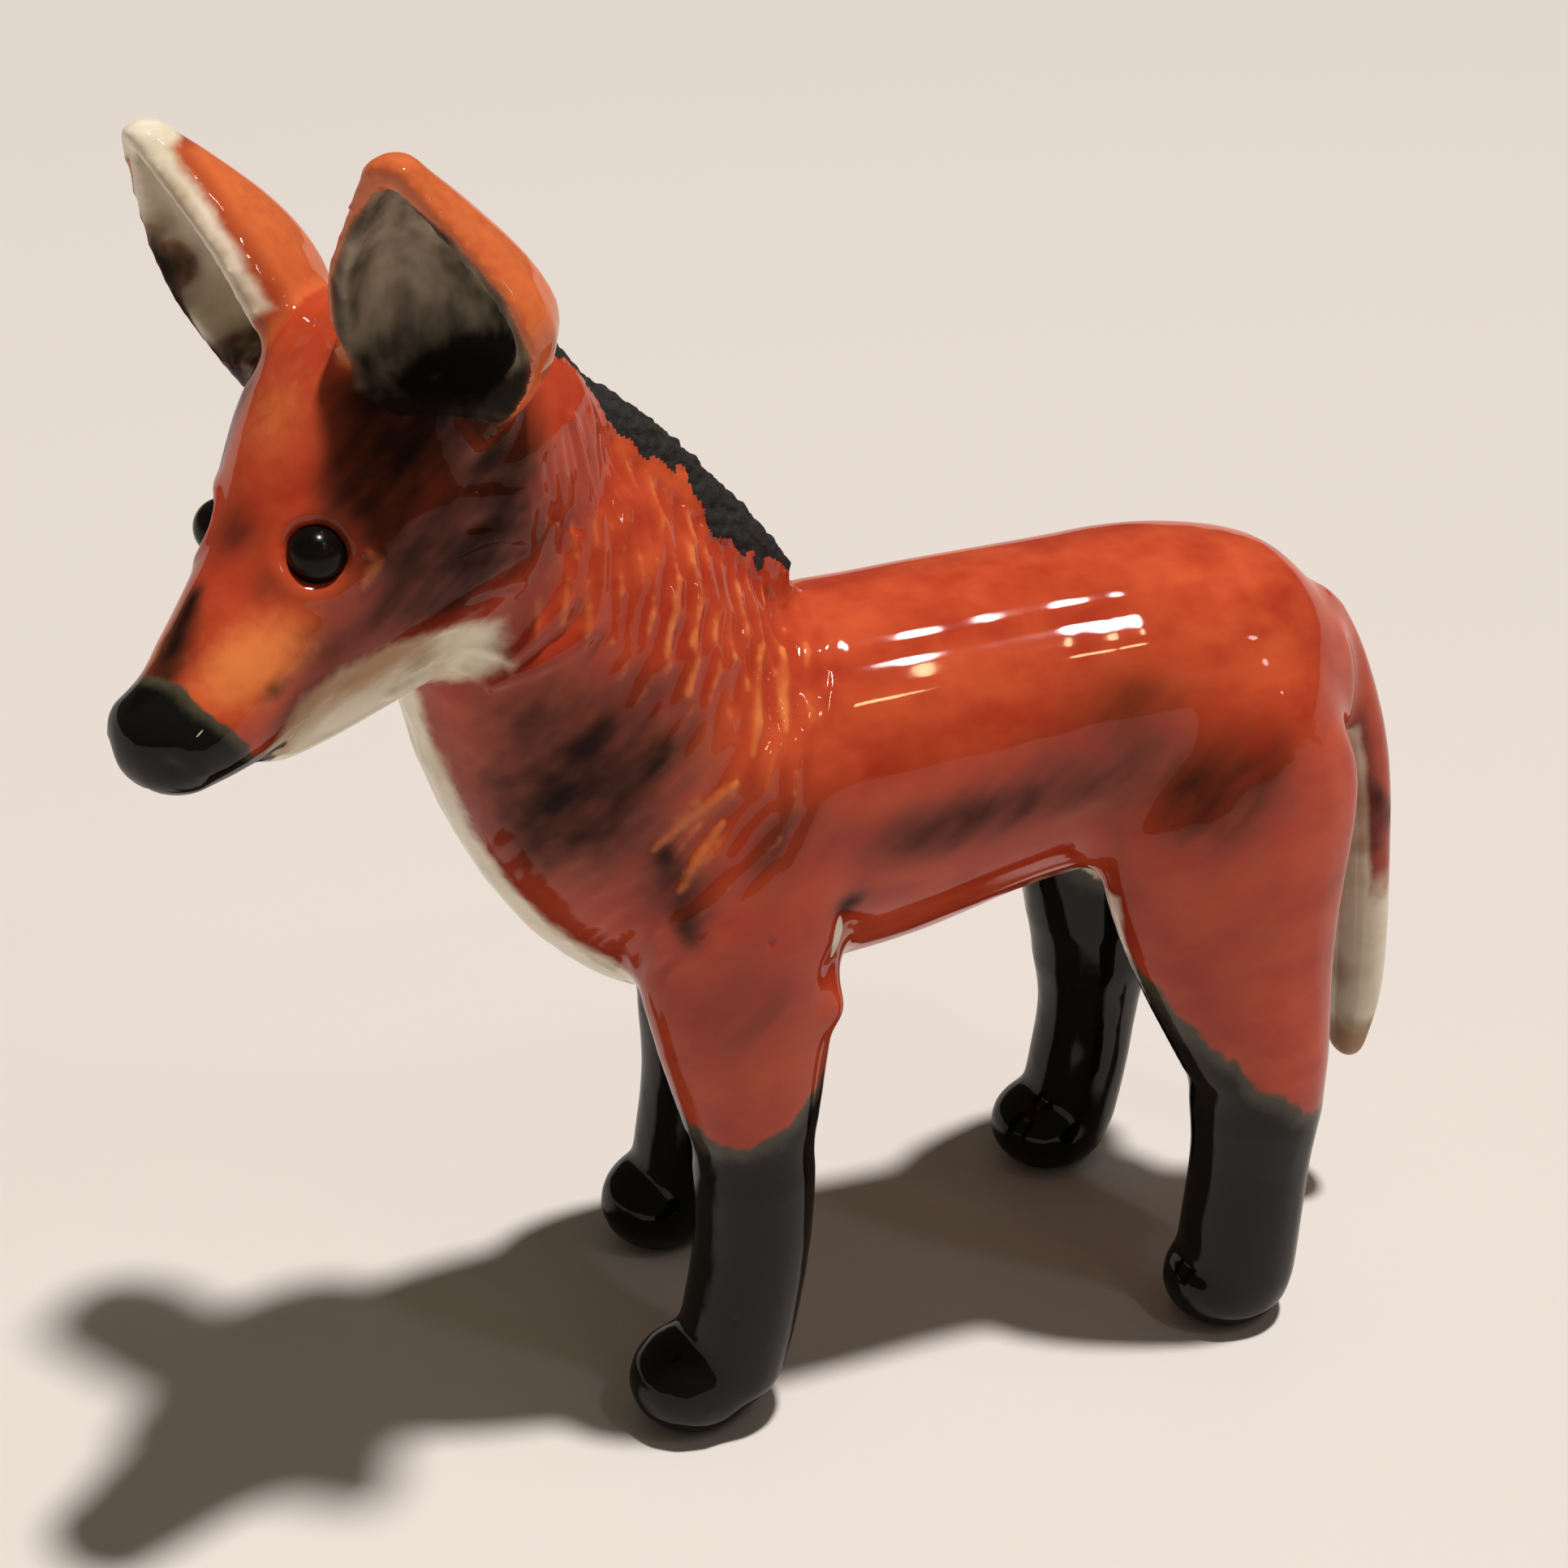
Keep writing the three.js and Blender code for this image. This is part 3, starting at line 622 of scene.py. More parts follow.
MID_LINE = (3.5, 6.0)  # but not under the belly's middle


def cream_field(body, head, turned, owner):
    """Bare cream glaze: jaw, throat, chest, inside of the thighs and armpits, and the tail."""
    x, off_middle, z = body[:, 0], np.abs(body[:, 1]), body[:, 2]
    chest = np.minimum(np.interp(z, CHEST_Z, CHEST_HALF) - off_middle, 7 * (turned @ CHEST_FACING - 0.15))
    off_belly = np.maximum(x - BELLY_FRONT, BELLY_BACK - x)
    chest = 0.5 * least(chest, z - CHEST_LOW, CHEST_HIGH - z, off_belly)
    jaw = np.interp(head[:, 0], JAW_X, JAW_Z) - head[:, 2]
    jaw = least(jaw, head[:, 0] - JAW_BACK, head[:, 2] - JAW_LOW)
    jaw = np.where(head[:, 0] > BEHIND_JAW, JAW_SOFT * jaw, -LIMIT)
    armpits = np.maximum(1.6 * on_both_sides(body, ARMPIT, ARMPIT_HALF), -LIMIT)
    thigh = np.minimum(THIGH_LINE_HALF - np.abs(off_middle - THIGH_LINE), 6 * (turned[:, 0] - 0.5))
    thigh = least(thigh, z - THIGH_LOW, THIGH_HIGH - z, THIGHS_AHEAD - x)
    field = most(chest, jaw, armpits, thigh)
    edges = np.minimum(3 * turned[:, 0] - 1.0, 0.3 * (TAIL_EDGES_PALE - z))
    return np.where(owned(owner, ["tail"]), np.maximum(0.25 * (TAIL_PALE - z), edges), field)


def black_field(body, head):
    """Black glaze: the four legs, the nose and the lip."""
    x, off_middle = body[:, 0], np.abs(body[:, 1])
    right = np.where(body[:, 1] > 0, 0.0, 1.0)
    fore_x, hind_x = x + FORE_SHIFT * right, x + HIND_SHIFT * right
    inner = ease(-1.0, 3.0, LEG_MIDDLE - off_middle) * ease(*MID_LINE, off_middle)
    edge = np.where(x > BETWEEN_LEGS, np.interp(fore_x, FORE_X, FORE_Z), np.interp(hind_x, HIND_X, HIND_Z))
    off_belly = np.where(x > BETWEEN_LEGS, fore_x - FORE_BACK, THIGH_FRONT - hind_x)
    legs = np.minimum(edge + INNER_RISE * inner - body[:, 2], 1.5 * off_belly)
    legs = np.where(x > TAIL_FRONT, legs, -LIMIT)
    nose = 2.0 * (head[:, 0] - np.interp(head[:, 2], NOSE_Z, NOSE_X)) + NOSE_SPREAD
    lip = np.minimum(2.6 * on_both_sides(head, MOUTH, LIP_HALF), 2 * (head[:, 0] - LIP_BACK))
    return most(legs, nose, lip)


# Brown brush marks, and painted shadow under the ears on the head: place, reach along and up, and strength
SMUDGES_BODY = [
    ((-8.5, 13, 55.5), 5.5, 2.6, 0.75), ((-15, 13, 56.5), 8, 3, 0.7),
    ((-23, 12.4, 59), 9, 5, 0.5), ((-27, 11.4, 63.5), 6, 3.6, 0.45),
    ((-32.5, 14.8, 54.8), 7.5, 4.8, 0.75), ((-38, 14.4, 57), 4.6, 4, 0.5),
    ((18, 11.6, 64.5), 9, 7, 0.75), ((14, 12, 70), 6, 4.5, 0.65),
    ((22, 10, 60), 8, 8, 0.6), ((21, 9, 71), 6, 4.5, 0.55),
    ((3.2, 14.5, 58.5), 5.5, 5, 0.65), ((6.5, 16.2, 45), 6, 7, 0.5),
    ((-37, 16, 43), 8, 9, 0.35), ((-2.6, 13.6, 50.6), 2.2, 1.2, 0.9),
]
# On the temples, round the ears' lips and on the forehead beside the ears: painted shadow of the ears
SMUDGES_AND_SHADOW_HEAD = [
    ((14.8, 0.3, 5.2), 2.6, 3.2, 0.75), ((5, 10.5, 0.5), 7.5, 6, 0.95),
    ((9.5, 9, -2.6), 4, 3, 0.8), ((16, 7, -2.6), 3.6, 2.4, 0.8),
    ((20.5, 6.2, -3), 1.4, 0.9, 0.7), ((4, 10.2, 5.8), 5.5, 3.8, 0.9),
    ((-0.5, 12.2, 3.5), 3.5, 3.5, 0.8), ((6.2, 8.4, 7.8), 3.2, 2.8, 0.9),
    ((4.8, 6.6, 11), 3.4, 2.8, 0.95), ((8, 9.2, -5), 5, 2.6, 0.9),
    ((1, 11.6, -4), 5, 4, 0.7), ((2, 11, 8.6), 4, 3, 0.95),
    ((1.2, 14.2, 9.5), 3, 2.4, 0.9), ((16.5, 4, 2.4), 2.2, 1.6, 0.45),
    ((-4, 12.4, 7), 4, 3, 0.7), ((9.2, 7.4, 6.6), 2.8, 2.6, 0.95),
    ((9.6, 8.8, 3.8), 2.2, 1.8, 0.6), ((4, 11.4, 2.4), 5, 4, 0.8),
]
SMEARS = [  # strokes on the chest: path, half width, strength
    ([(16.8, 12.2, 69.4), (17.9, 12, 67.8), (20.7, 11, 62.8)], 1.9, 0.75),
    ([(12.4, 12.6, 67), (14.9, 12.4, 64.7), (19.8, 10.9, 59.7)], 2, 0.8),
    ([(12.6, 13.1, 57.6), (12.1, 13.3, 55.9), (11.3, 14.8, 51.4)], 2.8, 0.85),
]
BRIDGE_STREAK = [(19.4, -1.4, 2.2), (23.4, -0.8, 0.2), (27, 0, -0.8)]
BRIDGE_HALF = 3.2
# Brown stain above the jaw's cream edge, spread over the jaw as painted shade under the muzzle
JAW_STAIN_AND_SHADE = {"strength": 0.95, "below": 1.2, "width": 3.2, "back": (5, 9), "low": -10}  # under the cheek
TAIL_TIP = 17.5  # height of the tail's dark end
TAIL_TIP_FADE = 4
TAIL_STAIN = 0.9
TAIL_BLOTCH = 5 * MM


def smudge_and_shade_share(body, head):
    """How dark the brown brush marks, the painted shadow under the ears and the painted shade over the jaw
    are, 0 to 1.
    """
    share = np.zeros(len(body))
    for places, smudges_and_shade in ((folded(body), SMUDGES_BODY), (folded(head), SMUDGES_AND_SHADOW_HEAD)):
        for place, along, up, strength in smudges_and_shade:
            share = share + strength * bell(away(places, place, (along, along, up)), 1.0) * (1 - share)
    for path, half_width, strength in SMEARS:
        share = share + strength * brushed(body, path, half_width) * (1 - share)
    # The jaw's stain: a brown edge, partly painted shade under the muzzle
    over_jaw = head[:, 2] - np.interp(head[:, 0], JAW_X, JAW_Z)
    edge = JAW_STAIN_AND_SHADE["strength"] * bell(over_jaw + JAW_STAIN_AND_SHADE["below"], JAW_STAIN_AND_SHADE["width"])
    edge = edge * ease(*JAW_STAIN_AND_SHADE["back"], head[:, 0]) * (head[:, 2] > JAW_STAIN_AND_SHADE["low"])
    return most(share, edge, np.exp(stroke(head, BRIDGE_STREAK, BRIDGE_HALF) - 1))


def tail_stains(skin, body, owner):
    """Brown blotches on the tail's lower half, and its dark end, 0 to 1."""
    blotches = ease(-0.1, 0.5, lumps(corners(skin), TAIL_BLOTCH, 21)) * ease(60, 50, body[:, 2])
    tip = ease(TAIL_TIP + TAIL_TIP_FADE, TAIL_TIP, body[:, 2])
    return np.maximum(TAIL_STAIN * blotches, tip) * owned(owner, ["tail"])


# Ears. Places are in millimetres in each ear's own frame, from its root.
EAR_HEIGHTS = [-5.0, 0.5, 5.5, 10.0, 14.5, 18.0]
EAR_HALVES = [4.3, 7.1, 8.8, 7.8, 4.7, 1.0]  # half widths at these heights
EAR_EDGE = 0.6  # width of the orange line round the cup
EAR_EDGE_SOFT = 0.3
EAR_SPAN = 9.5  # how far an ear reaches aside, and ahead of and behind its middle
EAR_MIDDLE = -4.0
EAR_DEEP = 6.0
EARS_ASIDE = 2  # from the head's mid plane
CUP_TOP = 17.5
CUP_CURL = 0.9  # how far the walls and the floor count as inside though they face aside
CUP_SOFT = 2
CUP_GREY_SHARE = 0.25  # how grey the right cup's cream is
STREAK_DARK = 0.8
RIM_SOFT = 0.7  # how slowly the right ear's worn rim turns pale
RIM_PEACH = 0.6  # how stained its cream is
TIP_WORN = 17.4  # the right ear's bare tip


def left_cup_painted_shade(ahead, outer, up, to_edge):
    """The left cup darkens towards its rim, and towards its floor as painted shade."""
    depth = 0.25 * ease(11.0, 0.0, up + 0.8 * (ahead + 3)) + 0.75 * ease(3.8, 1.4, up - 0.25 * outer)
    return 0.2 + (depth + 0.4 * ease(2.4, 0.9, to_edge))


def right_cup_streak(outer, up, to_edge):
    """The dark streak along the right cup's outer edge and its floor."""
    edge = ease(2.6, 1.4, to_edge) * (outer > 0) * ease(14.0, 10.0, up)
    return np.maximum(edge, ease(3.5, 0.5, up))


def ear_paint(head, turned_head, around):
    """Cup insides, left painted shade, right streak and rim dark, each 0 to 1, and the cream in
    millimetres.
    """
    cup, shade, dark_rim = np.zeros((3, len(head)))
    cream = np.full(len(head), -LIMIT)
    for ear, side in (("left_ear", 1), ("right_ear", -1)):
        place = in_ear(head - EAR_ROOT * (1, side, 1), ear)
        facing = in_ear(turned_head, ear)
        ahead, outer, up = place[:, 0], side * place[:, 1], place[:, 2]
        beside = head[:, 1] * side > EARS_ASIDE
        at_ear = (np.abs(outer) < EAR_SPAN) & (np.abs(ahead - EAR_MIDDLE) < EAR_DEEP) & beside
        inward = facing[:, 0] - CUP_CURL * facing[:, 1] * np.sign(place[:, 1])
        inward += CUP_CURL * facing[:, 2] * ease(6, 3, up) * ease(-6.8, -6.0, ahead)
        to_edge = np.interp(up, EAR_HEIGHTS, EAR_HALVES) - np.abs(outer)
        inside = ease(0.0, 0.5, inward) * ease(EAR_EDGE - EAR_EDGE_SOFT, EAR_EDGE + EAR_EDGE_SOFT, to_edge)
        inside *= ease(-0.5, 1.0, up) * at_ear * (up < CUP_TOP)
        if ear == "left_ear":
            # The left cup's shade is painted shade, darkest at its floor
            shade = np.where(beside, left_cup_painted_shade(ahead, outer, up, to_edge), shade)
            cup = np.maximum(cup, inside)
            continue
        streak = right_cup_streak(outer, up, to_edge)
        shade = np.where(beside, STREAK_DARK * streak, shade)
        cup = np.maximum(cup, inside * (CUP_GREY_SHARE + (1 - CUP_GREY_SHARE) * streak))
        outer_rim = ease(1.6, 0.6, to_edge) * ease(17, 14, up) * (outer > 0) * (up > -2)
        worn = RIM_SOFT * least(ahead + 0.6, -outer - 0.5, up - 5)
        peach = RIM_PEACH * ease(0.0, 0.8, worn) * ease(CUP_TOP, 16.0, up)
        dark_rim = np.where(at_ear, np.maximum(outer_rim, peach) * (1 - inside), dark_rim)
        tip = np.minimum(up - TIP_WORN, ahead + 3.5)
        cream = np.where(at_ear, most(tip, worn, 4 * inside * (1 - streak) - 1.5), cream)
    return soften(cup, around, CUP_SOFT), shade, dark_rim, cream


# Thin glaze, which is paler, partly painted highlight, and pooled glaze, which is deeper, partly painted
# shade
MUZZLE_PALE_AND_HIGHLIGHT = ((20.0, 4.6, -1.0), (5.4, 3.4, 2.6))  # where and how far the glaze is paler, partly painted highlight, head's frame
FOREHEAD_PALE_AND_HIGHLIGHT = ((8.0, 0.0, 11.5), (4.0, 4.0, 3.6))
THIN_AND_HIGHLIGHT = {"edges": 0.7, "muzzle": 1.1, "forehead": 0.55, "ears": 0.6, "gold": 0.65, "lids": 0.5}
LID_HALF = 0.8
CONVEX_SOFT = 6
EAR_BLEND = 8
RIDGE_SPREAD = 14  # passes that give the height round a ridge
RIDGE_SOFT = 3
# Pooled glaze in gouges and hollows, painted shade below the back, and a deeper tone over the head
POOL = {"fur": 0.7, "hollows": 0.7, "painted_shade_low": 0.5, "head": 0.35}


def convexity(skin, around):
    """How far each vertex stands out from its neighbours, in millimetres, evened out a little."""
    places, turned = corners(skin) / MM, normals(skin)
    mean = np.stack([around(places[:, axis]) for axis in range(3)], axis=1)
    return soften(np.sum((places - mean) * turned, axis=1), around, CONVEX_SOFT)


def thin_and_highlight_share(body, head, on_ears, around, fur, glow, stands):
    """Paleness from 0 up: thinner glaze on edges, fur, ears, gold; partly painted highlight on muzzle,
    forehead, lid.
    """
    ridges = soften(glow * ease(0.015, 0.06, soften(fur, around, RIDGE_SPREAD) - fur), around, RIDGE_SOFT)
    # Paler muzzle and forehead patches: partly painted highlight
    muzzle = THIN_AND_HIGHLIGHT["muzzle"] * bell(away(folded(head), *MUZZLE_PALE_AND_HIGHLIGHT), 1.0)
    forehead = THIN_AND_HIGHLIGHT["forehead"] * bell(away(folded(head), *FOREHEAD_PALE_AND_HIGHLIGHT), 1.0)
    ears = THIN_AND_HIGHLIGHT["ears"] * soften(on_ears.astype(float), around, EAR_BLEND) * ease(6, 11, head[:, 2])
    gold = THIN_AND_HIGHLIGHT["gold"] * np.max([brushed(body, path, GOLD_WIDE) for path in GOLD_STREAKS], axis=0)
    # The paler lid crescent is painted highlight
    lids = THIN_AND_HIGHLIGHT["lids"] * carved(head, LID_CRESCENT, LID_HALF)
    edges = THIN_AND_HIGHLIGHT["edges"] * ease(0.015, 0.05, stands)
    return edges + ridges + np.maximum(muzzle, forehead) + ears + gold + lids


def pool_share(body, owner, fur, stands):
    """How deep the glaze is, from 0 up: pooled in gouges and hollows, painted shade low on the body, deeper
    over the head.
    """
    pools = POOL["fur"] * ease(0.1, 0.30, fur) + POOL["hollows"] * ease(0.01, 0.04, -stands)
    # Below the back the glaze darkens as painted shade
    return pools + POOL["painted_shade_low"] * ease(69, 58, body[:, 2]) + POOL["head"] * owned(owner, ["head"])


# Painting the skin
PAINTS = ("cream", "black", "dark", "thin_and_highlight", "pool", "cup")


def paint_skin(skin, body, head, owner, around, fur, glow):
    """Notes how much of each glaze lies on each vertex."""
    turned = normals(skin)
    stands = convexity(skin, around)
    on_ears = owned(owner, EARS)
    # Brown marks, painted shadow under the ears and painted shade over the jaw
    smudges_and_shade = smudge_and_shade_share(body, head)
    # The painted shadow under the ears keeps out the paler glaze
    in_painted_shadow = ease(0.6, 0.9, smudges_and_shade) * ease(5, 7, head[:, 2])
    thin_and_highlight = thin_and_highlight_share(body, head, on_ears, around, fur, glow, stands)
    note(skin, "thin_and_highlight", np.clip(thin_and_highlight * (1 - in_painted_shadow), 0, 1))
    note(skin, "pool", np.clip(pool_share(body, owner, fur, stands), 0, 1))
    # The left cup's shade is painted shade; the right cup's is its dark streak
    cup, cup_shade, dark_rim, ear_cream = ear_paint(head, turned @ HEAD_AXES.T, around)
    dark = np.clip(np.maximum(smudges_and_shade, tail_stains(skin, body, owner)) + dark_rim, 0, 1)
    note(skin, "dark", np.where(cup > 0.2, cup_shade, dark))
    cream = np.where(on_ears, ear_cream, cream_field(body, head, turned, owner))
    note(skin, "cream", np.clip(cream, -LIMIT, LIMIT))
    note(skin, "black", np.clip(black_field(body, head), -LIMIT, LIMIT))
    note(skin, "cup", cup)


# Dividing the skin into its elements again
CUT_DEPTH = 0.5 * MM  # how deep a cut goes straight in before it turns to its middle
HUB_DEPTH = {"mane": 3.5 * MM, "neck": 3.5 * MM}  # how deep under the cut that middle lies
HUB_PULL = {"left_ear": 0.3, "right_ear": 0.3, "head": 0.3}  # how far it is drawn to the head's middle
NO_AREA = 1e-12


def largest_patch(quads, chosen):
    """Which of the chosen faces hang together in the largest patch."""
    faces = quads[chosen]
    label = np.arange(quads.max() + 1)
    lowest = label[faces].min(axis=1)
    while np.any(label[faces] > lowest[:, None]):
        np.minimum.at(label, faces.ravel(), np.repeat(lowest, 4))
        lowest = label[faces].min(axis=1)
    patch = np.zeros(len(quads), bool)
    patch[np.flatnonzero(chosen)] = lowest == np.bincount(lowest).argmax()
    return patch


def divided(skin, nearness, mane):
    """The skin's faces, and the column of the element that each belongs to."""
    quads = np.empty(len(skin.data.polygons) * 4, np.int32)
    skin.data.loops.foreach_get("vertex_index", quads)
    quads = quads.reshape(-1, 4)
    share = np.argmin(nearness[quads].sum(axis=1), axis=1)
    maned = largest_patch(quads, mane[quads].mean(axis=1) > 0)
    share = np.where((share == COLUMN["mane"]) & ~maned, COLUMN["neck"], share)
    return quads, np.where(maned, COLUMN["mane"], share)


def loops_round(edges):
    """Chains directed border edges into closed loops."""
    ahead = {}
    for a, b in edges:
        ahead.setdefault(a, []).append(b)
    loops = []
    while ahead:
        first = next(iter(ahead))
        loop = [first]
        while True:
            following = ahead[loop[-1]].pop()
            if not ahead[loop[-1]]:
                del ahead[loop[-1]]
            if following == first:
                break
            loop.append(following)
        loops.append(loop)
    return loops


def border_loops(faces, count):
    """The closed loops of edges that only one of these four-sided faces has."""
    edges = np.concatenate([faces[:, [i, (i + 1) % 4]] for i in range(4)])
    there = edges[:, 0] * count + edges[:, 1]
    back = edges[:, 1] * count + edges[:, 0]
    return loops_round(edges[~np.isin(there, back)].tolist())


def face_normal(face):
    across = np.cross(face[1] - face[0], face[2] - face[0])
    return across / max(np.linalg.norm(across), NO_AREA)


def cut_piece(skin, quads, node):
    """One element's share of the skin, closed where it was cut by a strip and a fan inside the clay."""
    used, local = np.unique(quads, return_inverse=True)
    local = local.reshape(-1, 4)
    loops = border_loops(local, len(used))
    points, sides = corners(skin)[used], normals(skin)[used]
    closing, inner = [], []
    for loop in loops:
        first = len(used) + len(inner)
        hub = first + len(loop)
        hub_place = points[loop].mean(axis=0) - sides[loop].mean(axis=0) * HUB_DEPTH.get(node, 0.0)
        hub_place = hub_place + (HEAD_AT - hub_place) * HUB_PULL.get(node, 0.0)
        inner += [*(points[loop] - sides[loop] * CUT_DEPTH), hub_place]
        for i, (a, b) in enumerate(zip(loop, loop[1:] + loop[:1])):
            deep_a, deep_b = first + i, first + (i + 1) % len(loop)
            closing += [(b, a, deep_a, deep_b), (deep_b, deep_a, hub)]
    points = np.vstack([points, inner])
    mesh = bpy.data.meshes.new(node + "_skin")
    mesh.from_pydata(points.tolist(), [], local.tolist() + closing)
    mesh.polygons.foreach_set("use_smooth", np.ones(len(mesh.polygons), bool))
    piece = add_object(node + "_skin", mesh)
    flat = [np.repeat([face_normal(points[list(face)])], len(face), axis=0) for face in closing]
    mesh.normals_split_custom_set(np.vstack([sides[local.ravel()]] + flat))
    for field in PAINTS:
        values = noted(skin, field)[used]
        deep = [np.append(values[loop], values[loop].mean()) for loop in loops]
        note(piece, field, np.concatenate([values] + deep))
    return piece


# Materials
def rgb(red, green, blue):
    """A colour as it is seen on a screen, 0 to 255, for a shader."""
    def linear(value):
        value /= 255
        return value / 12.92 if value <= 0.04045 else ((value + 0.055) / 1.055) ** 2.4
    return (linear(red), linear(green), linear(blue), 1.0)


class Value:
    """A socket that carries a number; maths on it adds Math nodes."""

    def __init__(self, finish, socket):
        self.finish = finish
        self.socket = socket

    def maths(self, operation, first, second):
        settings = {"operation": operation}
        return Value(self.finish, self.finish.node("ShaderNodeMath", settings, {0: first, 1: second}))

    def __add__(self, other):
        return self.maths("ADD", self, other)

    def __sub__(self, other):
        return self.maths("SUBTRACT", self, other)

    def __mul__(self, other):
        return self.maths("MULTIPLY", self, other)

    def __rsub__(self, other):
        return self.maths("SUBTRACT", other, self)

    __radd__ = __add__
    __rmul__ = __mul__


class Finish:
    """One material and the nodes that make it."""

    def __init__(self, name):
        self.material = bpy.data.materials.new(name)
        self.material.use_nodes = True
        self.tree = self.material.node_tree
        self.shader = self.tree.nodes["Principled BSDF"]

    def node(self, kind, settings, inputs, output=0):
        made = self.tree.nodes.new(kind)
        for name, value in settings.items():
            setattr(made, name, value)
        for name, value in inputs.items():
            self.feed(made.inputs[name], value)
        return made.outputs[output]

    def feed(self, socket, value):
        if isinstance(value, Value):
            value = value.socket
        if isinstance(value, bpy.types.NodeSocket):
            self.tree.links.new(value, socket)
        else:
            socket.default_value = value

    def set(self, **inputs):
        for name, value in inputs.items():
            self.feed(self.shader.inputs[name.replace("_", " ").title()], value)

    def field(self, name):
        """A number painted on the piece's vertices."""
        return Value(self, self.node("ShaderNodeAttribute", {"attribute_name": name}, {}, "Fac"))

    def mottle(self, size, detail=2.0, stretch=(1, 1, 1), slant=0.0):
        """Noise from -1 to 1 with blotches of this size in millimetres, stretched along slanted axes."""
        place = self.node("ShaderNodeTexCoord", {}, {}, "Object")
        scale = tuple(MM * size * s for s in stretch)
        inputs = {"Vector": place, "Scale": scale, "Rotation": (0, slant, 0)}
        place = self.node("ShaderNodeMapping", {"vector_type": "TEXTURE"}, inputs)
        inputs = {"Vector": place, "Scale": 1.0, "Detail": detail}
        return Value(self, self.node("ShaderNodeTexNoise", {}, inputs, 0)) * 2 - 1

    def step(self, value, low, high):
        inputs = {"Value": value, "From Min": low, "From Max": high}
        return Value(self, self.node("ShaderNodeMapRange", {"interpolation_type": "SMOOTHSTEP"}, inputs))

    def mix(self, share, under, over):
        inputs = {0: share, 6: under, 7: over}
        return self.node("ShaderNodeMix", {"data_type": "RGBA"}, inputs, 2)

    def bump(self, height, distance, strength=1.0):
        inputs = {"Height": height, "Distance": distance * MM, "Strength": strength}
        return self.node("ShaderNodeBump", {}, inputs)


COAT_SLANT = math.radians(42)  # the way the chest's brush marks fall
ORANGE = rgb(216, 94, 54)
ORANGE_DEEP = rgb(166, 50, 30)
# Paler orange of thin glaze, also used for the painted highlight
ORANGE_THIN_AND_HIGHLIGHT = rgb(232, 132, 72)
BROWN_MARK_AND_SHADOW = rgb(62, 32, 22)
CREAM = rgb(238, 228, 206)
CREAM_SHADE = rgb(206, 194, 160)
DRIP = rgb(136, 42, 24)
STAIN_AND_SHADE = rgb(158, 108, 68)
BLACK = rgb(16, 15, 14)
BLACK_THIN = rgb(74, 68, 52)
CUP_GREY = rgb(190, 172, 148)
CUP_DARK_AND_SHADE = rgb(44, 40, 38)
MANE_BLACK = rgb(12, 11, 10)
MANE_WORN = rgb(32, 29, 24)
MANE_GRAIN = rgb(150, 138, 110)
EYE_BLACK = rgb(9, 8, 8)
EYE_BROWN = rgb(20, 15, 13)


def glazed(name):
    """Brushed colours under one clear glossy glaze, from the fields painted on the pieces."""
    finish = Finish(name)
    mix, step, field, mottle = finish.mix, finish.step, finish.field, finish.mottle
    brush = mottle(7, 3, (1.8, 1.0, 0.6))
    blotch = mottle(3.2, 3)
    fine = mottle(0.9, 2)
    ragged = blotch * 0.9 + fine * 0.5
    # Orange, deeper where it pools, over the head, and as painted shade low on the body
    colour = mix(step(brush + blotch * 0.5, -0.7, 0.85), ORANGE_DEEP, ORANGE)
    colour = mix(field("pool") * 0.75, colour, ORANGE_DEEP)
    # Brown brush marks, painted shadow under the ears and painted shade on the jaw, black at their darkest
    slanted = mottle(2.4, 2, (3.0, 1.0, 1.0), COAT_SLANT)
    smudge_and_shade = field("dark") * (1 + slanted * 0.45) + brush * 0.2 + blotch * 0.15
    colour = mix(step(smudge_and_shade, 0.1, 0.95) * 0.92, colour, BROWN_MARK_AND_SHADOW)
    colour = mix(step(smudge_and_shade, 0.78, 1.15) * 0.85, colour, BLACK)
    # Thin glaze on edges and ridges, and painted highlight on the muzzle, forehead and lid crescent
    bare = 0.85 - step(smudge_and_shade, 0.3, 1.2) * 0.5
    thin_and_highlight = step(field("thin_and_highlight") + fine * 0.2, 0.1, 1.0) * bare
    colour = mix(thin_and_highlight, colour, ORANGE_THIN_AND_HIGHLIGHT)
    # Cream with a red line along its edge, stained where the marks and the jaw's painted shade reach it
    cream = field("cream") + ragged * 0.4 + brush * 0.6
    drip = step(cream, -1.6, -0.3)
    colour = mix(drip * 0.55, colour, DRIP)
    pale = mix(step(brush + fine * 0.3, -0.2, 0.8), CREAM, CREAM_SHADE)
    pale = mix(step(smudge_and_shade, 0.1, 1.1) * 0.75, pale, STAIN_AND_SHADE)
    colour = mix(step(cream, -0.4, 0.5), colour, pale)
    # Grey streaks inside the ears, dark under the left cup's painted shade and the right cup's streak
    streaks = mottle(3.0, 2, (1.0, 1.0, 2.0)) + mottle(1.2, 2, (1.0, 1.0, 2.4)) * 0.35
    cup = mix(step(streaks - field("dark") * 1.1, -1.2, 0.4), CUP_DARK_AND_SHADE, CUP_GREY)
    colour = mix(field("cup"), colour, cup)
    # Black with a thin olive edge
    black = field("black") + ragged * 0.9 + blotch * 0.8
    colour = mix(step(black, -0.6, 0.2), colour, BLACK_THIN)
    colour = mix(step(black, -0.2, 2.6), colour, BLACK)
    # The clear coat, duller over dark glazes and in the ears
    dulled = step(smudge_and_shade, 0.4, 1.1) * 0.6 + step(black, 0.0, 2.6) * 0.25
    coat = 0.75 - field("cup") * 0.62 - dulled
    finish.set(base_color=colour, roughness=0.4, coat_weight=coat, coat_roughness=0.04)
    finish.shader.inputs["Specular IOR Level"].default_value = 0.0
    peel = mottle(1.6, 2)
    finish.set(normal=finish.bump(peel, 0.006))
    return finish.material


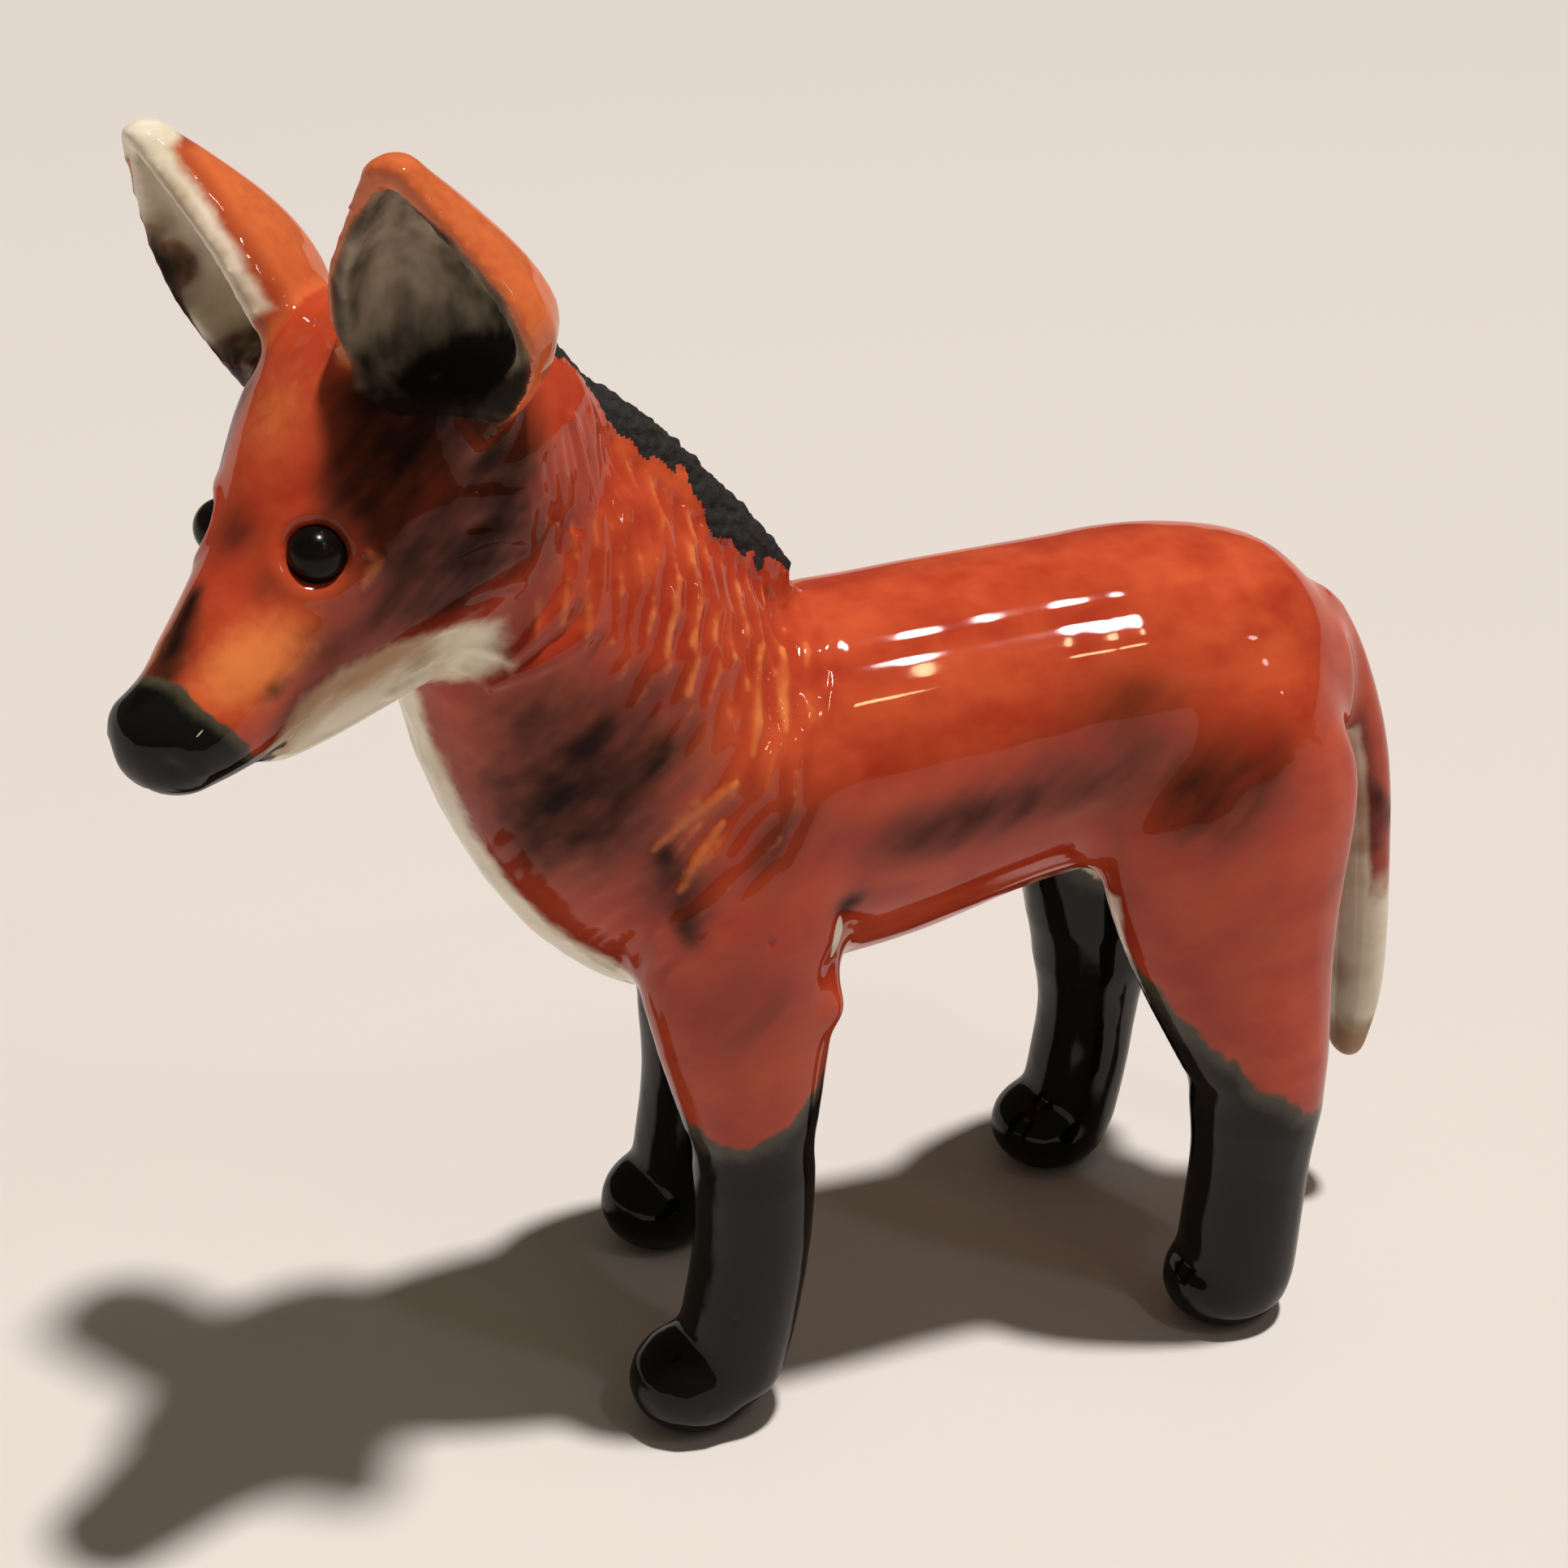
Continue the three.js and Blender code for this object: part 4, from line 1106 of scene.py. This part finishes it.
def matte_mane():
    """Rough unglazed black with pale grains where the clay shows."""
    finish = Finish("matte_mane")
    grain = finish.mottle(0.5, 4)
    worn = finish.mottle(2.0, 3)
    colour = finish.mix(finish.step(worn + grain * 0.4, -0.3, 0.7), MANE_BLACK, MANE_WORN)
    colour = finish.mix(finish.step(grain + worn * 0.5, 0.55, 0.8), colour, MANE_GRAIN)
    finish.set(base_color=colour, roughness=0.8 + grain * 0.1)
    finish.set(normal=finish.bump(grain, 0.12))
    return finish.material


def eye_glaze():
    finish = Finish("eye_glaze")
    tint = finish.mottle(1.2, 2)
    colour = finish.mix(finish.step(tint, -0.5, 0.5), EYE_BLACK, EYE_BROWN)
    finish.set(base_color=colour, roughness=0.2)
    finish.shader.inputs["Specular IOR Level"].default_value = 0.15
    return finish.material


# Eyes: beads with a flat back, pressed into the lids
EYE_BACK = 0.4  # the flat's distance behind the bead's middle, in radii
EYE_AHEAD = 0.55  # how far an eye looks ahead and aside
EYE_ASIDE = 0.8
EYE_SEGMENTS = 48
EYE_RINGS = 24
EYE_CREASE = math.radians(30)


def bead_eye(node):
    low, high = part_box(node)
    place = (low + high) / 2
    radius = (high.x - low.x) / 2
    side = 1 if node == "left_eye" else -1
    outward = unit(HEAD_AXES[0] * EYE_AHEAD + HEAD_AXES[1] * side * EYE_ASIDE)
    bpy.ops.object.select_all(action="DESELECT")
    bpy.ops.mesh.primitive_uv_sphere_add(
        segments=EYE_SEGMENTS, ring_count=EYE_RINGS, radius=radius, location=place)
    eye = bpy.context.object
    eye.name = node + "_bead"
    bpy.ops.object.transform_apply(location=True, rotation=True, scale=True)
    places = corners(eye)
    behind = np.minimum((places - np.array(place)) @ outward + EYE_BACK * radius, 0)
    move_corners(eye, places - behind[:, None] * outward)
    only(eye)
    bpy.ops.object.shade_smooth_by_angle(angle=EYE_CREASE)
    return eye


# Stage: floor, camera and lamps
PHOTO_ACROSS = 36.0  # mm of sensor
LENS = 73.45  # mm
CAMERA_YAW = math.radians(19)  # ahead of the wolf's left side
CAMERA_RISE = math.radians(30)
CAMERA_AWAY = 270 * MM
AIM = Vector(JOINT) + Vector((-3.0, -3.95, 52.0)) * MM
FLOOR_ACROSS = 60.0
FLOOR_COLOUR = (0.70, 0.66, 0.63, 1)
FLOOR_ROUGHNESS = 0.45
SUN_FROM = (-0.16, 0.05, 1.0)
SUN_STRENGTH = 3.5
SUN_SPREAD = math.radians(4)
SUN_COLOUR = (1.0, 0.95, 0.91)
COOL = (0.95, 0.97, 1.0)
WARM = (1.0, 0.82, 0.45)
PLAIN = (1.0, 0.97, 0.95)
LAMPS_AWAY = 0.9
BARS = [  # name, direction, size along and across the wolf, power, colour
    ("left_bar", (-0.332, 0.026, 1.0), (0.016, 0.08), 0.15, COOL),
    ("right_bar", (-0.376, 0.539, 1.0), (0.030, 0.07), 0.25, COOL),
    ("left_glint", (-0.403, 0.644, 1.0), (0.010, 0.05), 0.04, WARM),
    ("right_glint", (-0.434, 0.937, 1.0), (0.040, 0.04), 0.10, WARM),
    ("haunch_glint", (-1.5, 1.1, 1.0), (0.03, 0.05), 0.05, PLAIN),
]
SURROUND_COLOUR = (0.95, 0.82, 0.62, 1)
SURROUND_STRENGTH = 0.10


def add_camera():
    back = Vector((math.sin(CAMERA_YAW) * math.cos(CAMERA_RISE),
                   math.cos(CAMERA_YAW) * math.cos(CAMERA_RISE), math.sin(CAMERA_RISE)))
    data = bpy.data.cameras.new("camera")
    data.lens = LENS
    data.sensor_width = PHOTO_ACROSS
    data.clip_start = 1 * MM
    camera = add_object("camera", data)
    camera.location = AIM + back * CAMERA_AWAY
    camera.rotation_euler = back.to_track_quat("Z", "Y").to_euler()
    bpy.context.scene.camera = camera


def add_bar(name, direction, size, power, colour):
    """A lamp that looks at the figurine, with its first size along the wolf and its second across it."""
    data = bpy.data.lights.new(name, "AREA")
    data.shape = "ELLIPSE"
    data.size, data.size_y = size
    data.energy = power
    data.color = colour
    lamp = add_object(name, data)
    way = Vector(direction).normalized()
    along = (Vector((1, 0, 0)) - way * way.x).normalized()
    turned = Matrix((along, way.cross(along), way)).transposed()
    lamp.matrix_world = Matrix.Translation(AIM + way * LAMPS_AWAY) @ turned.to_4x4()


def add_sun():
    data = bpy.data.lights.new("overhead", "SUN")
    data.energy = SUN_STRENGTH
    data.angle = SUN_SPREAD
    data.color = SUN_COLOUR
    lamp = add_object("overhead", data)
    lamp.rotation_euler = Vector(SUN_FROM).to_track_quat("Z", "Y").to_euler()


def add_floor():
    bpy.ops.object.select_all(action="DESELECT")
    bpy.ops.mesh.primitive_plane_add(size=FLOOR_ACROSS, location=(0, 0, 0))
    floor = bpy.context.object
    floor.name = "floor"
    finish = Finish("floor")
    finish.set(base_color=FLOOR_COLOUR, roughness=FLOOR_ROUGHNESS)
    floor.data.materials.append(finish.material)


def add_surroundings():
    world = bpy.data.worlds.new("studio")
    bpy.context.scene.world = world
    world.use_nodes = True
    backdrop = world.node_tree.nodes["Background"]
    backdrop.inputs["Color"].default_value = SURROUND_COLOUR
    backdrop.inputs["Strength"].default_value = SURROUND_STRENGTH


# The figurine
skin, nearness = smeared_clay()
owner = np.argmin(nearness, axis=1)
around = neighbours(skin)
body, head = in_body(corners(skin)), in_head(corners(skin))
mane, fur, glow = carve(skin, body, head, owner, around)
paint_skin(skin, body, head, owner, around, fur, glow)
quads, share = divided(skin, nearness, mane)

slots = {row["node"]: row["material_slot"] for row in frame["record"]["subparts"]}
GLAZES = ("orange_glaze", "cream_glaze", "ear_glaze", "black_glaze", "tail_glaze")
finishes = {slot: glazed(slot) for slot in GLAZES}
finishes["matte_mane"] = matte_mane()
finishes["eye_glaze"] = eye_glaze()


def finish_piece(piece, node):
    piece.data.materials.clear()
    piece.data.materials.append(finishes[slots[node]])
    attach(piece, "root")
    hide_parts(node)


for node, column in COLUMN.items():
    finish_piece(cut_piece(skin, quads[share == column], node), node)
for node in ("left_eye", "right_eye"):
    finish_piece(bead_eye(node), node)
bpy.data.objects.remove(skin)

# The stage
add_floor()
add_sun()
for bar in BARS:
    add_bar(*bar)
add_surroundings()
add_camera()
bpy.context.scene.view_settings.view_transform = "Standard"
